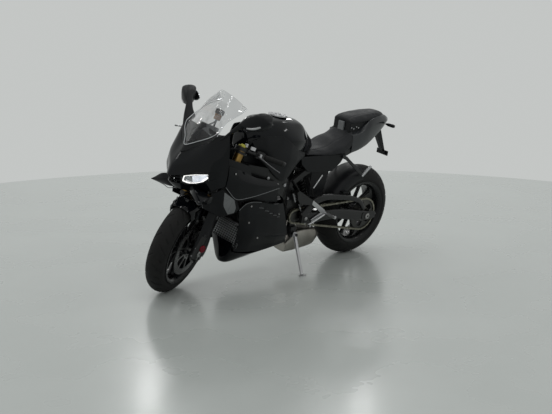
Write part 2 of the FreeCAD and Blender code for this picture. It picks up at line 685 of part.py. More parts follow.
def chain_path(offset, y):
    """Face inside the chain's loop, set off from its pitch line."""
    rear, front = Vector(0, y, size("rear_radius")), Vector(size("sprocket_x"), y, size("sprocket_z"))
    big, small = size("rear_pitch_radius"), size("front_pitch_radius")
    between = front - rear
    tilt = math.atan2(between.z, between.x)
    spread = math.acos((big - small) / between.Length)

    def rim_point(centre, radius, angle):
        return centre + Vector(math.cos(angle), 0, math.sin(angle)) * (radius + offset)

    top, bottom = tilt + spread, tilt - spread
    rear_top, rear_bottom = rim_point(rear, big, top), rim_point(rear, big, bottom)
    front_top, front_bottom = rim_point(front, small, top), rim_point(front, small, bottom)
    edges = [Part.makeLine(rear_top, front_top),
             Part.Arc(front_top, rim_point(front, small, tilt), front_bottom).toShape(),
             Part.makeLine(front_bottom, rear_bottom),
             Part.Arc(rear_bottom, rim_point(rear, big, tilt + math.pi), rear_top).toShape()]
    return Part.Face(Part.Wire(edges))


def chain_band(low, high, y, width):
    """A strip of the chain between two offsets from its pitch line."""
    ring = chain_path(high, y).cut(chain_path(low, y))
    return ring.extrude(Vector(0, width, 0))


def chain():
    line = size("chain_line")
    rollers = chain_band(-1, 5, line - 5.5, 11)
    inner = chain_band(-7.5, 7.5, line - 10, 4.5)
    outer = chain_band(-7.5, 7.5, line + 5.5, 4.5)
    node("drive_chain", solid("chain_loop", rollers.fuse([inner, outer])), BIKE)


def rear_caliper():
    track = size("rear_disc_track")
    block = box("rear_caliper_block", (55, 128), (-127, -track + 17), (360, 418))
    room = size("disc_thickness") / 2 + 5
    slot = box("rear_caliper_slot", (40, 118), (-track - room, -track + room), (350, 425))
    node("rear_caliper", cut("rear_caliper_cut", block, slot), BIKE)


def rear_hugger():
    """A guard over the front and top of the rear tyre, with an ear on each arm."""
    body = new_body("hugger_arch")
    outer = size("rear_radius") + 12
    revolve(body, [(-102, 268), (-86, outer - 18), (0, outer), (86, outer - 18), (102, 268),
                   (99, 268), (84, outer - 21), (0, outer - 3), (-84, outer - 21), (-99, 268)], "Arch")
    body.Placement = rear_axle_frame()
    wedge = [(0, 0)] + [(900 * math.cos(math.radians(t)), 900 * math.sin(math.radians(t)))
                        for t in (20, 42, 64, 84)]
    kept = plate("hugger_span", [(x, z + size("rear_radius")) for x, z in wedge], (-110, 110))
    arch = bind(doc.addObject("Part::Common", "hugger_top"), Base=body, Tool=kept)
    ear = box("hugger_ear", (200, 240), (96, 128), (502, 512))
    node("rear_hugger", fuse("hugger", arch, ear, mirrored("hugger_ear_right", ear)), BIKE)


def exhaust():
    """Collector box under the engine and the short silencer on the right."""
    collector = body_loft("collector", [
        (640, [(0, 188), (60, 186), (62, 130), (40, 118), (0, 118)]),
        (560, [(0, 262), (66, 262), (76, 150), (52, 122), (0, 122)]),
        (400, [(0, 262), (66, 262), (76, 160), (52, 138), (0, 138)]),
        (352, [(0, 225), (50, 222), (56, 180), (40, 165), (0, 165)])])
    silencer = loft("silencer", [
        [(490, -172, 268), (490, -172, 205), (490, -205, 190), (490, -228, 220), (490, -215, 272)],
        [(400, -170, 318), (400, -170, 212), (400, -216, 196), (400, -254, 240), (400, -240, 322)],
        [(170, -172, 362), (170, -172, 284), (170, -214, 270), (170, -244, 306), (170, -232, 366)]])
    link = cylinder("link_pipe", 25, 176, (470, -30, 205), (-6, -150, 26))
    node("exhaust", fuse("exhaust_solid", collector, silencer, link), BIKE)


def rearsets():
    """Foot rest brackets, each a fork of two arms, with their pegs."""
    outline = [(706, 574), (690, 590), (560, 512), (415, 424), (412, 396), (428, 388), (530, 340),
               (556, 360), (480, 412), (560, 466), (640, 492), (664, 478), (674, 504), (690, 525)]
    holder = plate("rearset_plate", outline, (160, 168))
    boss = cross_bar("rearset_boss", 12, 688, 560, 96, 162)
    lower_boss = cross_bar("rearset_lower_boss", 9, 650, 494, 96, 162)
    peg = cylinder("peg", 11, 92, (428, 164, 406), (-0.10, 0.99, -0.06))
    node("rearsets", pair("rearset_pair", fuse("rearset", holder, boss, lower_boss, peg)), BIKE)


def passenger_pegs():
    """Two hangers under the tail with their pegs folded up."""
    hanger = plate("hanger_plate", [(300, 772), (258, 760), (62, 612), (70, 596), (262, 736), (300, 752)],
                   (119, 127))
    peg = cylinder("passenger_peg", 9, 94, (78, 124, 604), (-58, 16, 74))
    node("passenger_pegs", pair("hanger_pair", fuse("hanger", hanger, peg)), BIKE)


def side_stand():
    """The stand's leg, foot and pivot eye, drawn where it stands deployed."""
    pivot = STAND_PIVOT
    foot = BIKE.inverse().multVec(Vector(*STAND_FOOT))
    leg_line = foot - pivot
    leg = cylinder("stand_leg", 10, leg_line.Length - 6, pivot, leg_line)
    eye = cylinder("stand_eye", 19, 14, pivot - STAND_AXIS * 7, STAND_AXIS)
    pad_frame = Placement(Vector(*STAND_FOOT), Rotation())
    sole = Part.makeBox(58, 34, 6, Vector(-34, -16, 0))
    sole.Placement = BIKE.inverse().multiply(pad_frame)
    whole = fuse("stand_solid", leg, eye, solid("stand_sole", sole))
    bore = cylinder("stand_bore", "Sizes.stand_pin_radius + 0.1", 80, pivot - STAND_AXIS * 40, STAND_AXIS)
    node("side_stand", cut("stand", whole, bore), BIKE)


# ---------------------------------------------------------------- tank, seats, tail

def fuel_tank():
    tank = body_loft("tank", [
        (1072, [(0, 968), (40, 962), (70, 915), (72, 862), (50, 838), (0, 838)]),
        (1041, [(0, 999), (58, 986), (95, 930), (98, 868), (70, 830), (0, 830)]),
        (960, [(0, 1037), (85, 1020), (142, 945), (146, 860), (95, 802), (0, 802)]),
        (850, [(0, 1038), (92, 1020), (165, 940), (162, 850), (100, 790), (0, 790)]),
        (750, [(0, 1024), (88, 1004), (160, 922), (150, 840), (100, 784), (0, 784)]),
        (660, [(0, 1004), (76, 984), (132, 900), (118, 828), (90, 782), (0, 782)]),
        (604, [(0, 962), (60, 940), (96, 868), (86, 815), (62, 784), (0, 784)]),
        (534, [(0, 893), (40, 880), (58, 840), (52, 818), (40, 806), (0, 806)])])
    node("fuel_tank", tank, BIKE)
    cap = cylinder("cap", 46, 12, (802, 0, 1026), (-0.14, 0, 1))
    node("fuel_cap", cut("cap_seated", cap, body_loft("cap_seat", [
        (960, [(0, 1037), (85, 1020), (0, 900)]), (850, [(0, 1038), (92, 1020), (0, 900)]),
        (750, [(0, 1024), (88, 1004), (0, 900)])])), BIKE)
    cover = panel("side_cover", [
        [(1072, 108, 924), (1006, 156, 957), (888, 169, 956), (812, 173, 908), (742, 160, 856), (640, 118, 818)],
        [(1062, 128, 874), (1000, 168, 880), (900, 178, 862), (822, 180, 820), (746, 166, 790), (650, 124, 794)],
        [(1046, 140, 830), (985, 168, 774), (922, 172, 716), (850, 170, 668), (785, 160, 704), (706, 130, 772)]],
        size("fairing_wall"))
    node("tank_side_covers", pair("side_cover_pair", cover), BIKE)


def seats():
    rider = body_loft("rider_foam", [
        (600, [(0, 807), (66, 805), (96, 799), (100, 788), (0, 788)]),
        (500, [(0, 817), (66, 815), (116, 801), (122, 780), (0, 780)]),
        (411, [(0, 830), (74, 824), (126, 806), (134, 778), (0, 778)]),
        (343, [(0, 864), (80, 856), (132, 826), (138, 778), (0, 778)]),
        (284, [(0, 880), (84, 872), (132, 838), (136, 788), (0, 788)]),
        (229, [(0, 914), (86, 906), (124, 872), (128, 822), (0, 822)]),
        (206, [(0, 936), (84, 930), (116, 896), (120, 844), (0, 844)])])
    tank_room = body_loft("tank_room", [
        (664, [(0, 1004), (92, 984), (134, 900), (120, 828), (92, 776), (0, 776)]),
        (602, [(0, 1004), (64, 984), (99, 868), (89, 815), (65, 778), (0, 778)]),
        (531, [(0, 1004), (44, 984), (61, 840), (55, 816), (43, 803), (0, 803)])])
    node("rider_seat", cut("rider", rider, tank_room), BIKE)
    pillion = body_loft("pillion", [
        (228, [(0, 988), (56, 986), (80, 976), (84, 958), (0, 958)]),
        (200, [(0, 1000), (60, 997), (88, 984), (92, 960), (0, 960)]),
        (111, [(0, 1014), (62, 1011), (92, 994), (95, 966), (0, 966)]),
        (0, [(0, 1022), (60, 1019), (88, 1000), (90, 972), (0, 972)]),
        (-80, [(0, 1024), (48, 1021), (74, 1002), (74, 980), (0, 980)]),
        (-136, [(0, 1014), (30, 1012), (50, 1001), (50, 988), (0, 988)])])
    node("pillion_seat", pillion, BIKE)


def tail():
    cowl = body_loft("tail_solid", [
        (203, [(0, 952), (78, 952), (110, 926), (112, 776), (0, 776)]),
        (130, [(0, 958), (82, 958), (110, 936), (104, 790), (0, 790)]),
        (60, [(0, 962), (80, 962), (104, 940), (92, 808), (0, 808)]),
        (-60, [(0, 972), (72, 972), (88, 950), (66, 862), (0, 862)]),
        (-140, [(0, 982), (52, 982), (68, 960), (48, 908), (0, 908)]),
        (-180, [(0, 976), (36, 974), (46, 958), (34, 936), (0, 936)])])
    room = beam("rail_room", [(204, -112, 112, 770, 810), (202, -112, 112, 770, 810)])
    cover = plate("subframe_cover", [(556, 776), (300, 766), (262, 772), (300, 720), (369, 675), (491, 682),
                                     (547, 704)], (112.5, 115.5))
    node("tail_cowl", group("tail_set", cut("tail_end", cowl, room), cover,
                            mirrored("subframe_cover_right", cover)), BIKE)
    lamp = beam("lamp", [(-181, -32, 32, 942, 968), (-192, -28, 28, 944, 966)])
    stalk = cylinder("indicator_stalk", 5, 56, (-142, 66, 938), (0, 1, 0.02))
    lens = cylinder("indicator_lens", 9, 22, (-142, 120, 939), (0, 1, 0.02))
    indicator = fuse("indicator", stalk, lens)
    node("rear_lamps", group("lamps", lamp, indicator, mirrored("indicator_right", indicator)), BIKE)
    arm = loft("carrier_arm", [[(-108, y, 884), (-154, y, 906), (-242, y, 728), (-222, y, 720)] for y in (-16, 16)])
    bar = box("plate_bar", (-242, -222), (-43, 43), (698, 726))
    node("plate_carrier", fuse("carrier", arm, bar), BIKE)


# ---------------------------------------------------------------- front bodywork

# rails of the nose from the chin up to the screen, each from the centre out and back: x, y, z
NOSE_RAILS = [
    [(1520, 0, 662), (1488, 62, 656), (1438, 130, 662), (1398, 178, 678), (1358, 196, 692), (1318, 204, 704)],
    [(1562, 0, 700), (1520, 62, 699), (1476, 134, 714), (1424, 185, 742), (1372, 206, 758), (1318, 214, 768)],
    [(1573, 0, 738), (1535, 62, 753), (1491, 134, 783), (1437, 188, 796), (1380, 210, 802), (1318, 216, 806)],
    [(1550, 0, 795), (1518, 66, 816), (1470, 138, 846), (1420, 184, 864), (1370, 204, 876), (1318, 212, 885)],
    [(1498, 0, 862), (1450, 62, 899), (1411, 130, 943), (1382, 160, 982), (1350, 184, 998), (1318, 196, 1000)],
]
# rails of the screen from its foot to its top edge, each from the centre out: x, y, z
SCREEN_RAILS = [
    [(1496, 0, 866), (1448, 60, 903), (1409, 128, 947), (1378, 158, 987)],
    [(1412, 0, 1006), (1384, 60, 1020), (1346, 112, 1040), (1306, 138, 1054)],
    [(1318, 0, 1130), (1304, 54, 1138), (1262, 100, 1124), (1206, 138, 1100)],
    [(1242, 0, 1206), (1232, 40, 1196), (1198, 86, 1166), (1150, 118, 1120)],
]


def nose(cheeks):
    """Nose shell, winglets cut to fit it and the cheek, headlamps, screen and dashboard."""
    lamp_columns = (2, 3, 4, 5, 6, 7)
    shell = panel("nose_shell", [both_sides(rail) for rail in NOSE_RAILS], size("fairing_wall"),
                  [(1, column) for column in lamp_columns])
    wing = hull([(1439, 58, 629), (1457, 182, 592), (1529, 229, 636), (1494, 126, 717), (1398, 163, 697),
                 (1396, 188, 603), (1470, 226, 643), (1392, 197, 668)])
    blades = fitted_pair("blades", wing, shell.Shape, *cheeks)
    node("winglets", blades, BIKE)
    outside = shell.Shape.copy()
    node("nose_cowl", shell, BIKE)
    # y, front x, lower z, upper z of the lamp's face
    face = [(66, 1512, 705, 748), (128, 1476, 719, 775), (180, 1426, 746, 788)]
    lamp = loft("lamp_block", [[(x, y, low), (x, y, high), (x - 46, y, high), (x - 46, y, low)]
                               for y, x, low, high in face])
    node("headlamps", pair("lamp_pair", lamp), BIKE)
    node("windscreen", panel("screen", [both_sides(rail) for rail in SCREEN_RAILS], size("fairing_wall")), BIKE)
    dash = loft("dash", [[(1352, y, 925), (1366, y, 930), (1318, y, 1010), (1304, y, 1004)] for y in (-82, 82)])
    stay = box("dash_stay", (1235, 1350), (-14, 14), (895, 925))
    node("dashboard", fuse("dash_unit", dash, stay), BIKE)
    return outside


def side_fairings():
    """Side panels: the cheek before the fork, the upper and the lower panel with a vent between."""
    wall = size("fairing_wall")
    cheek = panel("cheek", [
        [(1430, 134, 650), (1390, 172, 660), (1352, 190, 674), (1329, 201, 686), (1234, 219, 612)],
        [(1426, 142, 600), (1388, 164, 588), (1352, 180, 588), (1325, 196, 589), (1206, 216, 560)],
        [(1420, 150, 569), (1360, 156, 536), (1300, 164, 503), (1262, 180, 512), (1222, 204, 533)]], wall)
    upper = panel("upper_panel", [
        [(1310, 213, 826), (1225, 205, 792), (1087, 196, 728), (980, 190, 698), (885, 184, 672)],
        [(1312, 215, 760), (1225, 219, 728), (1095, 216, 692), (985, 208, 668), (888, 197, 655)],
        [(1316, 208, 700), (1240, 218, 622), (1098, 214, 622), (952, 204, 637), (892, 196, 642)]], wall)
    lower = panel("lower_panel", [
        [(1196, 206, 543), (1143, 211, 584), (1060, 212, 580), (950, 204, 550), (880, 197, 540), (836, 189, 535)],
        [(1186, 200, 490), (1130, 214, 500), (1060, 214, 490), (960, 209, 470), (880, 201, 455), (800, 188, 436)],
        [(1158, 176, 425), (1110, 192, 400), (1055, 198, 370), (950, 194, 350), (850, 185, 335), (752, 170, 318)],
        [(1136, 130, 300), (1100, 146, 285), (1045, 156, 275), (940, 158, 268), (840, 155, 262), (735, 143, 262)],
        [(1130, 116, 240), (1095, 126, 232), (1040, 137, 228), (930, 145, 226), (830, 145, 232), (724, 136, 240)]],
        wall)
    panels = [cheek, upper, lower]
    node("side_fairings", group("side_set", *panels, *(mirrored(half.Name + "_right", half) for half in panels)),
         BIKE)
    belly = panel("belly", [both_sides(rail) for rail in [
        [(1140, 0, 286), (1138, 60, 286), (1130, 102, 284)],
        [(1138, 0, 134), (1126, 48, 146), (1118, 92, 224)],
        [(1010, 0, 124), (1012, 58, 152), (1000, 114, 200)],
        [(885, 0, 140), (850, 64, 178), (870, 126, 214)],
        [(730, 0, 154), (735, 62, 186), (735, 122, 230)]]], wall)
    node("belly_pan", belly, BIKE)
    return cheek.Shape, cheek.Shape.mirror(Vector(), Vector(0, 1, 0))


def mirrors(nose_shape):
    """Mirror heads on blade-shaped arms from the top of the nose."""
    arm = hull([(1372, 168, 966), (1366, 178, 968), (1292, 180, 1003), (1296, 170, 1016),
                (1303, 252, 1084), (1299, 262, 1062), (1272, 260, 1063), (1276, 252, 1084)])
    head = hull([(1303, 252, 1080), (1299, 250, 1060), (1262, 256, 1056), (1259, 254, 1084), (1295, 300, 1119),
                 (1288, 308, 1051), (1214, 306, 1048), (1210, 298, 1121), (1271, 351, 1145), (1252, 350, 1060),
                 (1180, 352, 1064), (1176, 346, 1149), (1256, 386, 1136), (1246, 389, 1098), (1178, 385, 1100),
                 (1175, 379, 1140)])
    node("mirrors", fitted_pair("mirror_pair", arm.fuse(head), nose_shape), BIKE)


# ---------------------------------------------------------------- build and write

def build():
    wheels()
    brake_discs()
    rear_sprocket()
    axles()
    fork()
    triple_clamps()
    handlebars()
    front_calipers()
    front_fender()
    main_frame()
    engine_block()
    radiator()
    swingarm()
    under_seat()
    chain()
    rear_caliper()
    rear_hugger()
    exhaust()
    rearsets()
    passenger_pegs()
    side_stand()
    fuel_tank()
    seats()
    tail()
    nose_shape = nose(side_fairings())
    mirrors(nose_shape)
    doc.recompute()


def write():
    """Check every object and sub-part, then write one file for each sub-part."""
    for obj in doc.Objects:
        if "Invalid" in obj.State or "Error" in obj.State:
            raise RuntimeError(f"{obj.Name} failed: {obj.State}")
    for part in NODES:
        if part.Shape.isNull() or not part.Shape.isValid() or part.Shape.Volume <= 0:
            raise RuntimeError(f"{part.Label} has no valid shape")
    os.makedirs("parts", exist_ok=True)
    for part in NODES:
        part.Shape.exportStep(f"parts/{part.Label}.step")


build()
write()
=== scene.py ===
"""Sport bike on its side stand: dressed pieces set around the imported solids.

Numbers are millimetres in the machine's own frames: x forward, y to the rider's left, z up. Steered
pieces are drawn about the steering axis and wheels about their own centres. A form becomes a mesh in
metres, in the frame of the row, when its piece is made.
"""

import logging
import math
from dataclasses import dataclass, replace
from enum import Enum
from functools import reduce

import bmesh
import bpy
import numpy as np
from mathutils import Matrix, Vector


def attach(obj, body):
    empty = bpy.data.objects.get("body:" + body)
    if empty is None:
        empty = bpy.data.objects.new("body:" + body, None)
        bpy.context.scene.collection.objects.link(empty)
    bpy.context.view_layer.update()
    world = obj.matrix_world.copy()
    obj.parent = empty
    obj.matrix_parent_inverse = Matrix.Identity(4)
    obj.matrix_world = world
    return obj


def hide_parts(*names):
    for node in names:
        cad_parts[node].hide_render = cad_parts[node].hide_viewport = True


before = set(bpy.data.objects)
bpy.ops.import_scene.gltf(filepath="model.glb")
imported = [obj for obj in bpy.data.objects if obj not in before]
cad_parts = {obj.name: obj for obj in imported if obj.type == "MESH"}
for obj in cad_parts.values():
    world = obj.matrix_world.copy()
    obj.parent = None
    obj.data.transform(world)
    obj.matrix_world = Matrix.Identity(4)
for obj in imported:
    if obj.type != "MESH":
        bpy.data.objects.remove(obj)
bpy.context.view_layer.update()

Array = np.ndarray
Point = tuple[float, float, float]
Profile = list[tuple[float, float]]
Tree, Socket = bpy.types.NodeTree, bpy.types.NodeSocket
LOG = logging.getLogger("sport_bike")


# ---------------------------------------------------------------- frames

def rotation(degrees: float, axis: str) -> Matrix:
    """A turn about one of the axes."""
    return Matrix.Rotation(math.radians(degrees), 4, axis)


def shift(x: float, y: float, z: float) -> Matrix:
    """A move without a turn."""
    return Matrix.Translation((x, y, z))


FORK_AHEAD, FORK_TRACK, AXLE_HEIGHT = 28.7, 105.0, 314.8637
CHAIN_LINE, DRIVE_SPROCKET, REAR_PITCH_RADIUS = 112.0, (655.0, 395.0), 111.3
REAR_AXLE_HEIGHT = 320.0
BIKE_PLACE, PITCH, LEAN = (-707.6, -200.4, 1.794), 0.2986, -11.32
STEERING_FOOT, RAKE, STEERED = 1556.8, -23.6, 27
BIKE = Matrix.Translation(BIKE_PLACE) @ rotation(PITCH, "Y") @ rotation(LEAN, "X")
STEERING = BIKE @ shift(STEERING_FOOT, 0, 0) @ rotation(RAKE, "Y") @ rotation(STEERED, "Z")
FRONT_WHEEL = STEERING @ shift(FORK_AHEAD, 0, AXLE_HEIGHT)
REAR_WHEEL = BIKE @ shift(0, 0, REAR_AXLE_HEIGHT)


class Place(Enum):
    """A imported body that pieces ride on."""

    CHASSIS = "chassis"
    STEERING = "steering"
    FRONT_WHEEL = "front_wheel"
    REAR_WHEEL = "rear_wheel"
    STAND = "stand"

    @property
    def matrix(self) -> Matrix:
        """The frame, in millimetres, that the body's pieces are drawn in."""
        return {Place.STEERING: STEERING, Place.FRONT_WHEEL: FRONT_WHEEL,
                Place.REAR_WHEEL: REAR_WHEEL}.get(self, BIKE)


def aimed(start: Point, direction: Point) -> Matrix:
    """A frame at start whose z axis points along direction."""
    return Matrix.Translation(start) @ Vector(direction).to_track_quat("Z", "Y").to_matrix().to_4x4()


# ---------------------------------------------------------------- numbers

MM, TINY = 0.001, 1e-9
MERGED_GAP, EMPTY_EDGE = 2e-5, 1e-6


def full_turn(count: int) -> Array:
    """Angles at even steps round a full turn."""
    return np.linspace(0, 2 * np.pi, count, endpoint=False)


def unit(vectors: Array) -> Array:
    """Vectors along the last axis, each brought to a length of 1."""
    return vectors / (np.linalg.norm(vectors, axis=-1, keepdims=True) + TINY)


def about_axle(radius: Array, y: Array, angle: Array, x: float = 0.0, z: float = 0.0) -> Array:
    """Points round a line across the machine at (x, z): (x + r cos a, y, z + r sin a)."""
    return np.stack(np.broadcast_arrays(x + radius * np.cos(angle), y, z + radius * np.sin(angle)), -1)


def knurl(start: float, stop: float, step: float, low: float, rise: float) -> Profile:
    """Profile points of a ribbed bar, every second one higher by rise."""
    place = np.arange(start, stop, step)
    return list(zip(place, low + rise * (np.arange(len(place)) % 2)))


# ---------------------------------------------------------------- forms

@dataclass
class Form:
    """Points (n, 3) in millimetres and blocks of faces, each block an array (faces, corners)."""

    points: Array
    faces: list[Array]

    def __add__(self, other: "Form") -> "Form":
        """Both forms as one."""
        shifted = [block + len(self.points) for block in other.faces]
        return Form(np.concatenate([self.points, other.points]), self.faces + shifted)

    def moved(self, matrix: Matrix) -> "Form":
        """The form carried by a matrix."""
        turn = np.array(matrix, float)
        return Form(self.points @ turn[:3, :3].T + turn[:3, 3], self.faces)

    def flipped(self) -> "Form":
        """The same faces looking the other way."""
        return Form(self.points, [block[:, ::-1] for block in self.faces])

    def scaled(self, *factors: float) -> "Form":
        """The form stretched along its three axes."""
        return Form(self.points * factors, self.faces)

    def mirrored(self) -> "Form":
        """The form on the other side of the centre plane, its faces still outwards."""
        return self.scaled(1, -1, 1).flipped()

    def pair(self) -> "Form":
        """The form and its mirror image."""
        return self + self.mirrored()

    def outward(self) -> "Form":
        """The form with its faces outwards, judged by the sign of its volume.

        Returns:
            The form itself, or flipped.
        """
        corners = np.concatenate([np.stack([block[:, [0] * (block.shape[1] - 2)], block[:, 1:-1], block[:, 2:]],
                                           -1).reshape(-1, 3) for block in self.faces])
        a, b, c = np.moveaxis(self.points[corners] - self.points.mean(0), 1, 0)
        return self if np.einsum("ij,ij->", a, np.cross(b, c)) > 0 else self.flipped()

    def copies(self, matrices: list[Matrix]) -> "Form":
        """The form repeated.

        Args:
            matrices: where each copy goes.

        Returns:
            All the copies as one form.
        """
        turns = np.array([np.array(m) for m in matrices])
        points = np.einsum("nij,kj->nki", turns[:, :3, :3], self.points) + turns[:, None, :3, 3]
        steps = np.arange(len(turns))[:, None, None] * len(self.points)
        return Form(points.reshape(-1, 3), [(block[None] + steps).reshape(-1, block.shape[1])
                                            for block in self.faces])

    def mesh(self, name: str, matrix: Matrix) -> bpy.types.Mesh:
        """A mesh in metres in the row frame, with doubled points merged.

        Args:
            name: the mesh's name.
            matrix: the frame that the form is drawn in.

        Returns:
            The new mesh.
        """
        made = bpy.data.meshes.new(name)
        points = self.moved(matrix).points * MM
        made.vertices.add(len(points))
        made.vertices.foreach_set("co", points.ravel())
        corners = np.concatenate([block.ravel() for block in self.faces]).astype(np.int32)
        counts = np.concatenate([np.full(len(block), block.shape[1]) for block in self.faces])
        made.loops.add(len(corners))
        made.loops.foreach_set("vertex_index", corners)
        made.polygons.add(len(counts))
        made.polygons.foreach_set("loop_start", (np.cumsum(counts) - counts).astype(np.int32))
        made.update(calc_edges=True)
        worked = bmesh.new()
        worked.from_mesh(made)
        bmesh.ops.remove_doubles(worked, verts=worked.verts, dist=MERGED_GAP)
        bmesh.ops.dissolve_degenerate(worked, edges=worked.edges, dist=EMPTY_EDGE)
        worked.to_mesh(made)
        worked.free()
        made.validate()
        return made


def joined(*forms: Form) -> Form:
    """Several forms as one."""
    return reduce(Form.__add__, forms)


def lattice(rows: int, columns: int, wrap_rows: bool = False, wrap_columns: bool = False) -> Array:
    """Quads between neighbouring points of a grid stored row by row.

    Args:
        rows, columns: the grid's size.
        wrap_rows, wrap_columns: whether its last row or column joins the first.

    Returns:
        Array (quads, 4) of point numbers.
    """
    r, c = np.indices((rows - (not wrap_rows), columns - (not wrap_columns)))
    below, right = (r + 1) % rows, (c + 1) % columns
    return np.stack([r * columns + c, r * columns + right, below * columns + right, below * columns + c],
                    -1).reshape(-1, 4)


def spline(points: Array, per_span: int, ease: float = 1.0, closed: bool = False) -> Array:
    """A smooth line, or a family of them, through points along the first axis.

    Each span is a cubic in the share u of its chord: h00 p0 + h10 m0 + h01 p1 + h11 m1, where a
    point's slope m is ease times the slope from its neighbour before to its neighbour after. An ease
    of 0 leaves straight spans.

    Args:
        points: array (n, ...) of points.
        per_span: samples a span.
        ease: share of the full slope.
        closed: whether the line runs on from its last point to its first.

    Returns:
        Array (samples, ...).
    """
    p = np.asarray(points, float)
    if closed:
        p = np.concatenate([p[-1:], p, p[:2]])
    wide = (-1,) + (1,) * (p.ndim - 1)
    step = np.linalg.norm(np.diff(p, axis=0), axis=-1).reshape(len(p) - 1, -1).mean(1) + TINY
    knots = np.concatenate([[0], np.cumsum(step)])
    slope = np.diff(p, axis=0) / step.reshape(wide)
    middle = (p[2:] - p[:-2]) / (knots[2:] - knots[:-2]).reshape(wide)
    m = np.concatenate([slope[:1], middle, slope[-1:]]) * ease
    if closed:
        p, m, step = p[1:-1], m[1:-1], step[1:-1]
    u = np.linspace(0, 1, per_span, endpoint=False).reshape((1, -1) + (1,) * (p.ndim - 1))
    h = step.reshape((-1, 1) + (1,) * (p.ndim - 1))
    a, b, ma, mb = p[:-1, None], p[1:, None], m[:-1, None] * h, m[1:, None] * h
    line = (2 * u ** 3 - 3 * u ** 2 + 1) * a + (u ** 3 - 2 * u ** 2 + u) * ma \
        + (3 * u ** 2 - 2 * u ** 3) * b + (u ** 3 - u ** 2) * mb
    line = line.reshape((-1,) + p.shape[1:])
    return line if closed else np.concatenate([line, p[-1:]])


def net(points: Array, rows: int, columns: int, ease_rows: float = 0.7, ease_columns: float = 0.7) -> Array:
    """A smooth surface grid through a net of points: splines along the rows, then across them."""
    along = spline(np.asarray(points, float), rows, ease_rows)
    return spline(along.swapaxes(0, 1), columns, ease_columns).swapaxes(0, 1)


def shell(grid: Array, wall: float, inside: Point = (1000, 0, 600)) -> Form:
    """A thin wall on a surface grid: the grid, the grid set back along its normals, and the rims.

    The normal at a point is the cross product of the grid's two gradients there, turned away from
    the inside point at the grid's middle.

    Args:
        grid: surface points (rows, columns, 3).
        wall: thickness.
        inside: a point on the inner side of the middle of the surface.

    Returns:
        A closed form.
    """
    normal = unit(np.cross(np.gradient(grid, axis=0), np.gradient(grid, axis=1)))
    rows, columns = grid.shape[:2]
    if np.dot(normal[rows // 2, columns // 2], np.array(inside) - grid[rows // 2, columns // 2]) > 0:
        normal = -normal
    points = np.concatenate([grid.reshape(-1, 3), (grid - normal * wall).reshape(-1, 3)])
    index = np.arange(rows * columns).reshape(rows, columns)
    border = np.concatenate([index[0, :-1], index[:-1, -1], index[-1, :0:-1], index[:0:-1, 0]])
    after = np.roll(border, -1)
    face = lattice(rows, columns)
    rim = np.stack([after, border, border + rows * columns, after + rows * columns], -1)
    return Form(points, [face, face[:, ::-1] + rows * columns, rim]).outward()


def lofted(rings: Array, dome: float = 0.0) -> Form:
    """A closed form through closed rings, its ends drawn in to points.

    Towards an end's centre a copy of the ring shrinks by 1 - t^2.5 and moves out by
    dome (1 - (1 - t)^2.5), for t from 0 to 1, which rounds the end's edge.

    Args:
        rings: points (rings, around, 3).
        dome: how far both ends bulge.

    Returns:
        A closed form.
    """
    t = np.linspace(0, 1, 7)[1:, None, None] if dome else np.ones((1, 1, 1))

    def end(ring: Array, before: Array) -> Array:
        """The rings that close one end."""
        centre, out = ring.mean(0), unit(ring.mean(0) - before.mean(0))
        return centre + (ring - centre) * (1 - t ** 2.5) + out * dome * (1 - (1 - t) ** 2.5)

    whole = np.concatenate([end(rings[0], rings[1])[::-1], rings, end(rings[-1], rings[-2])])
    return Form(whole.reshape(-1, 3), [lattice(*whole.shape[:2], wrap_columns=True)]).outward()


def hull(rings: Array, around: int, ease_around: float, along: int, ease_along: float, dome: float) -> Form:
    """A smooth closed body through rings of points: splines round each ring, then from ring to ring."""
    smooth = spline(np.asarray(rings, float).swapaxes(0, 1), around, ease_around, closed=True).swapaxes(0, 1)
    return lofted(spline(smooth, along, ease_along), dome)


def body_form(stations: list[tuple[float, Profile]], along: int, around: int, ease_along: float,
              ease_around: float, dome: float) -> Form:
    """A hull symmetric about the centre plane, each station an x and the (y, z) of its left half."""
    rings = [[(x, y, z) for y, z in half] + [(x, -y, z) for y, z in half[-2:0:-1]] for x, half in stations]
    return hull(rings, around, ease_around, along, ease_along, dome)


def channel(half: Profile, angles: tuple[float, float, int], x: float, z: float, tuck: float = 0.0,
            draw: float = 0.0) -> Form:
    """A curved guard over a wheel: a smooth section across it, turned about its axle.

    Towards both ends the section narrows by the share tuck and its middle sinks by draw, by the
    sixth power of the way from the middle of the turn.

    Args:
        half: (distance from the centre plane, radius) of the section's left half.
        angles: first and last angle in degrees, and how many.
        x, z: the axle's place.
        tuck: share by which the ends are narrower.
        draw: how far the middle of the ends sinks.

    Returns:
        A thin-walled form.
    """
    section = spline(np.array([(-y, r) for y, r in half] + half[-2::-1], float), 5, 0.9)
    trim = np.clip(1 - np.abs(np.linspace(-1, 1, angles[2])) ** 6, 0, 1)[:, None]
    y = section[:, 0] * (1 - tuck + tuck * trim)
    r = section[:, 1] - (1 - trim) * draw * (np.abs(section[:, 0]) < 60)
    return shell(about_axle(r, y, np.radians(np.linspace(*angles))[:, None], x, z), 3.0, (x, 0, z))


def turned(profile: Profile, sides: int = 32, ring: bool = False) -> Form:
    """A form turned about the z axis from a profile of (along, radius) points.

    Args:
        profile: points from one end to the other.
        sides: points around.
        ring: whether the profile closes on itself, as for a ring.

    Returns:
        A closed form.
    """
    along, radius = np.array(profile, float).T
    angle = full_turn(sides)
    points = np.stack([radius[:, None] * np.cos(angle), radius[:, None] * np.sin(angle),
                       np.broadcast_to(along[:, None], (len(along), sides))], -1)
    return Form(points.reshape(-1, 3), [lattice(len(along), sides, wrap_rows=ring, wrap_columns=True)]).outward()


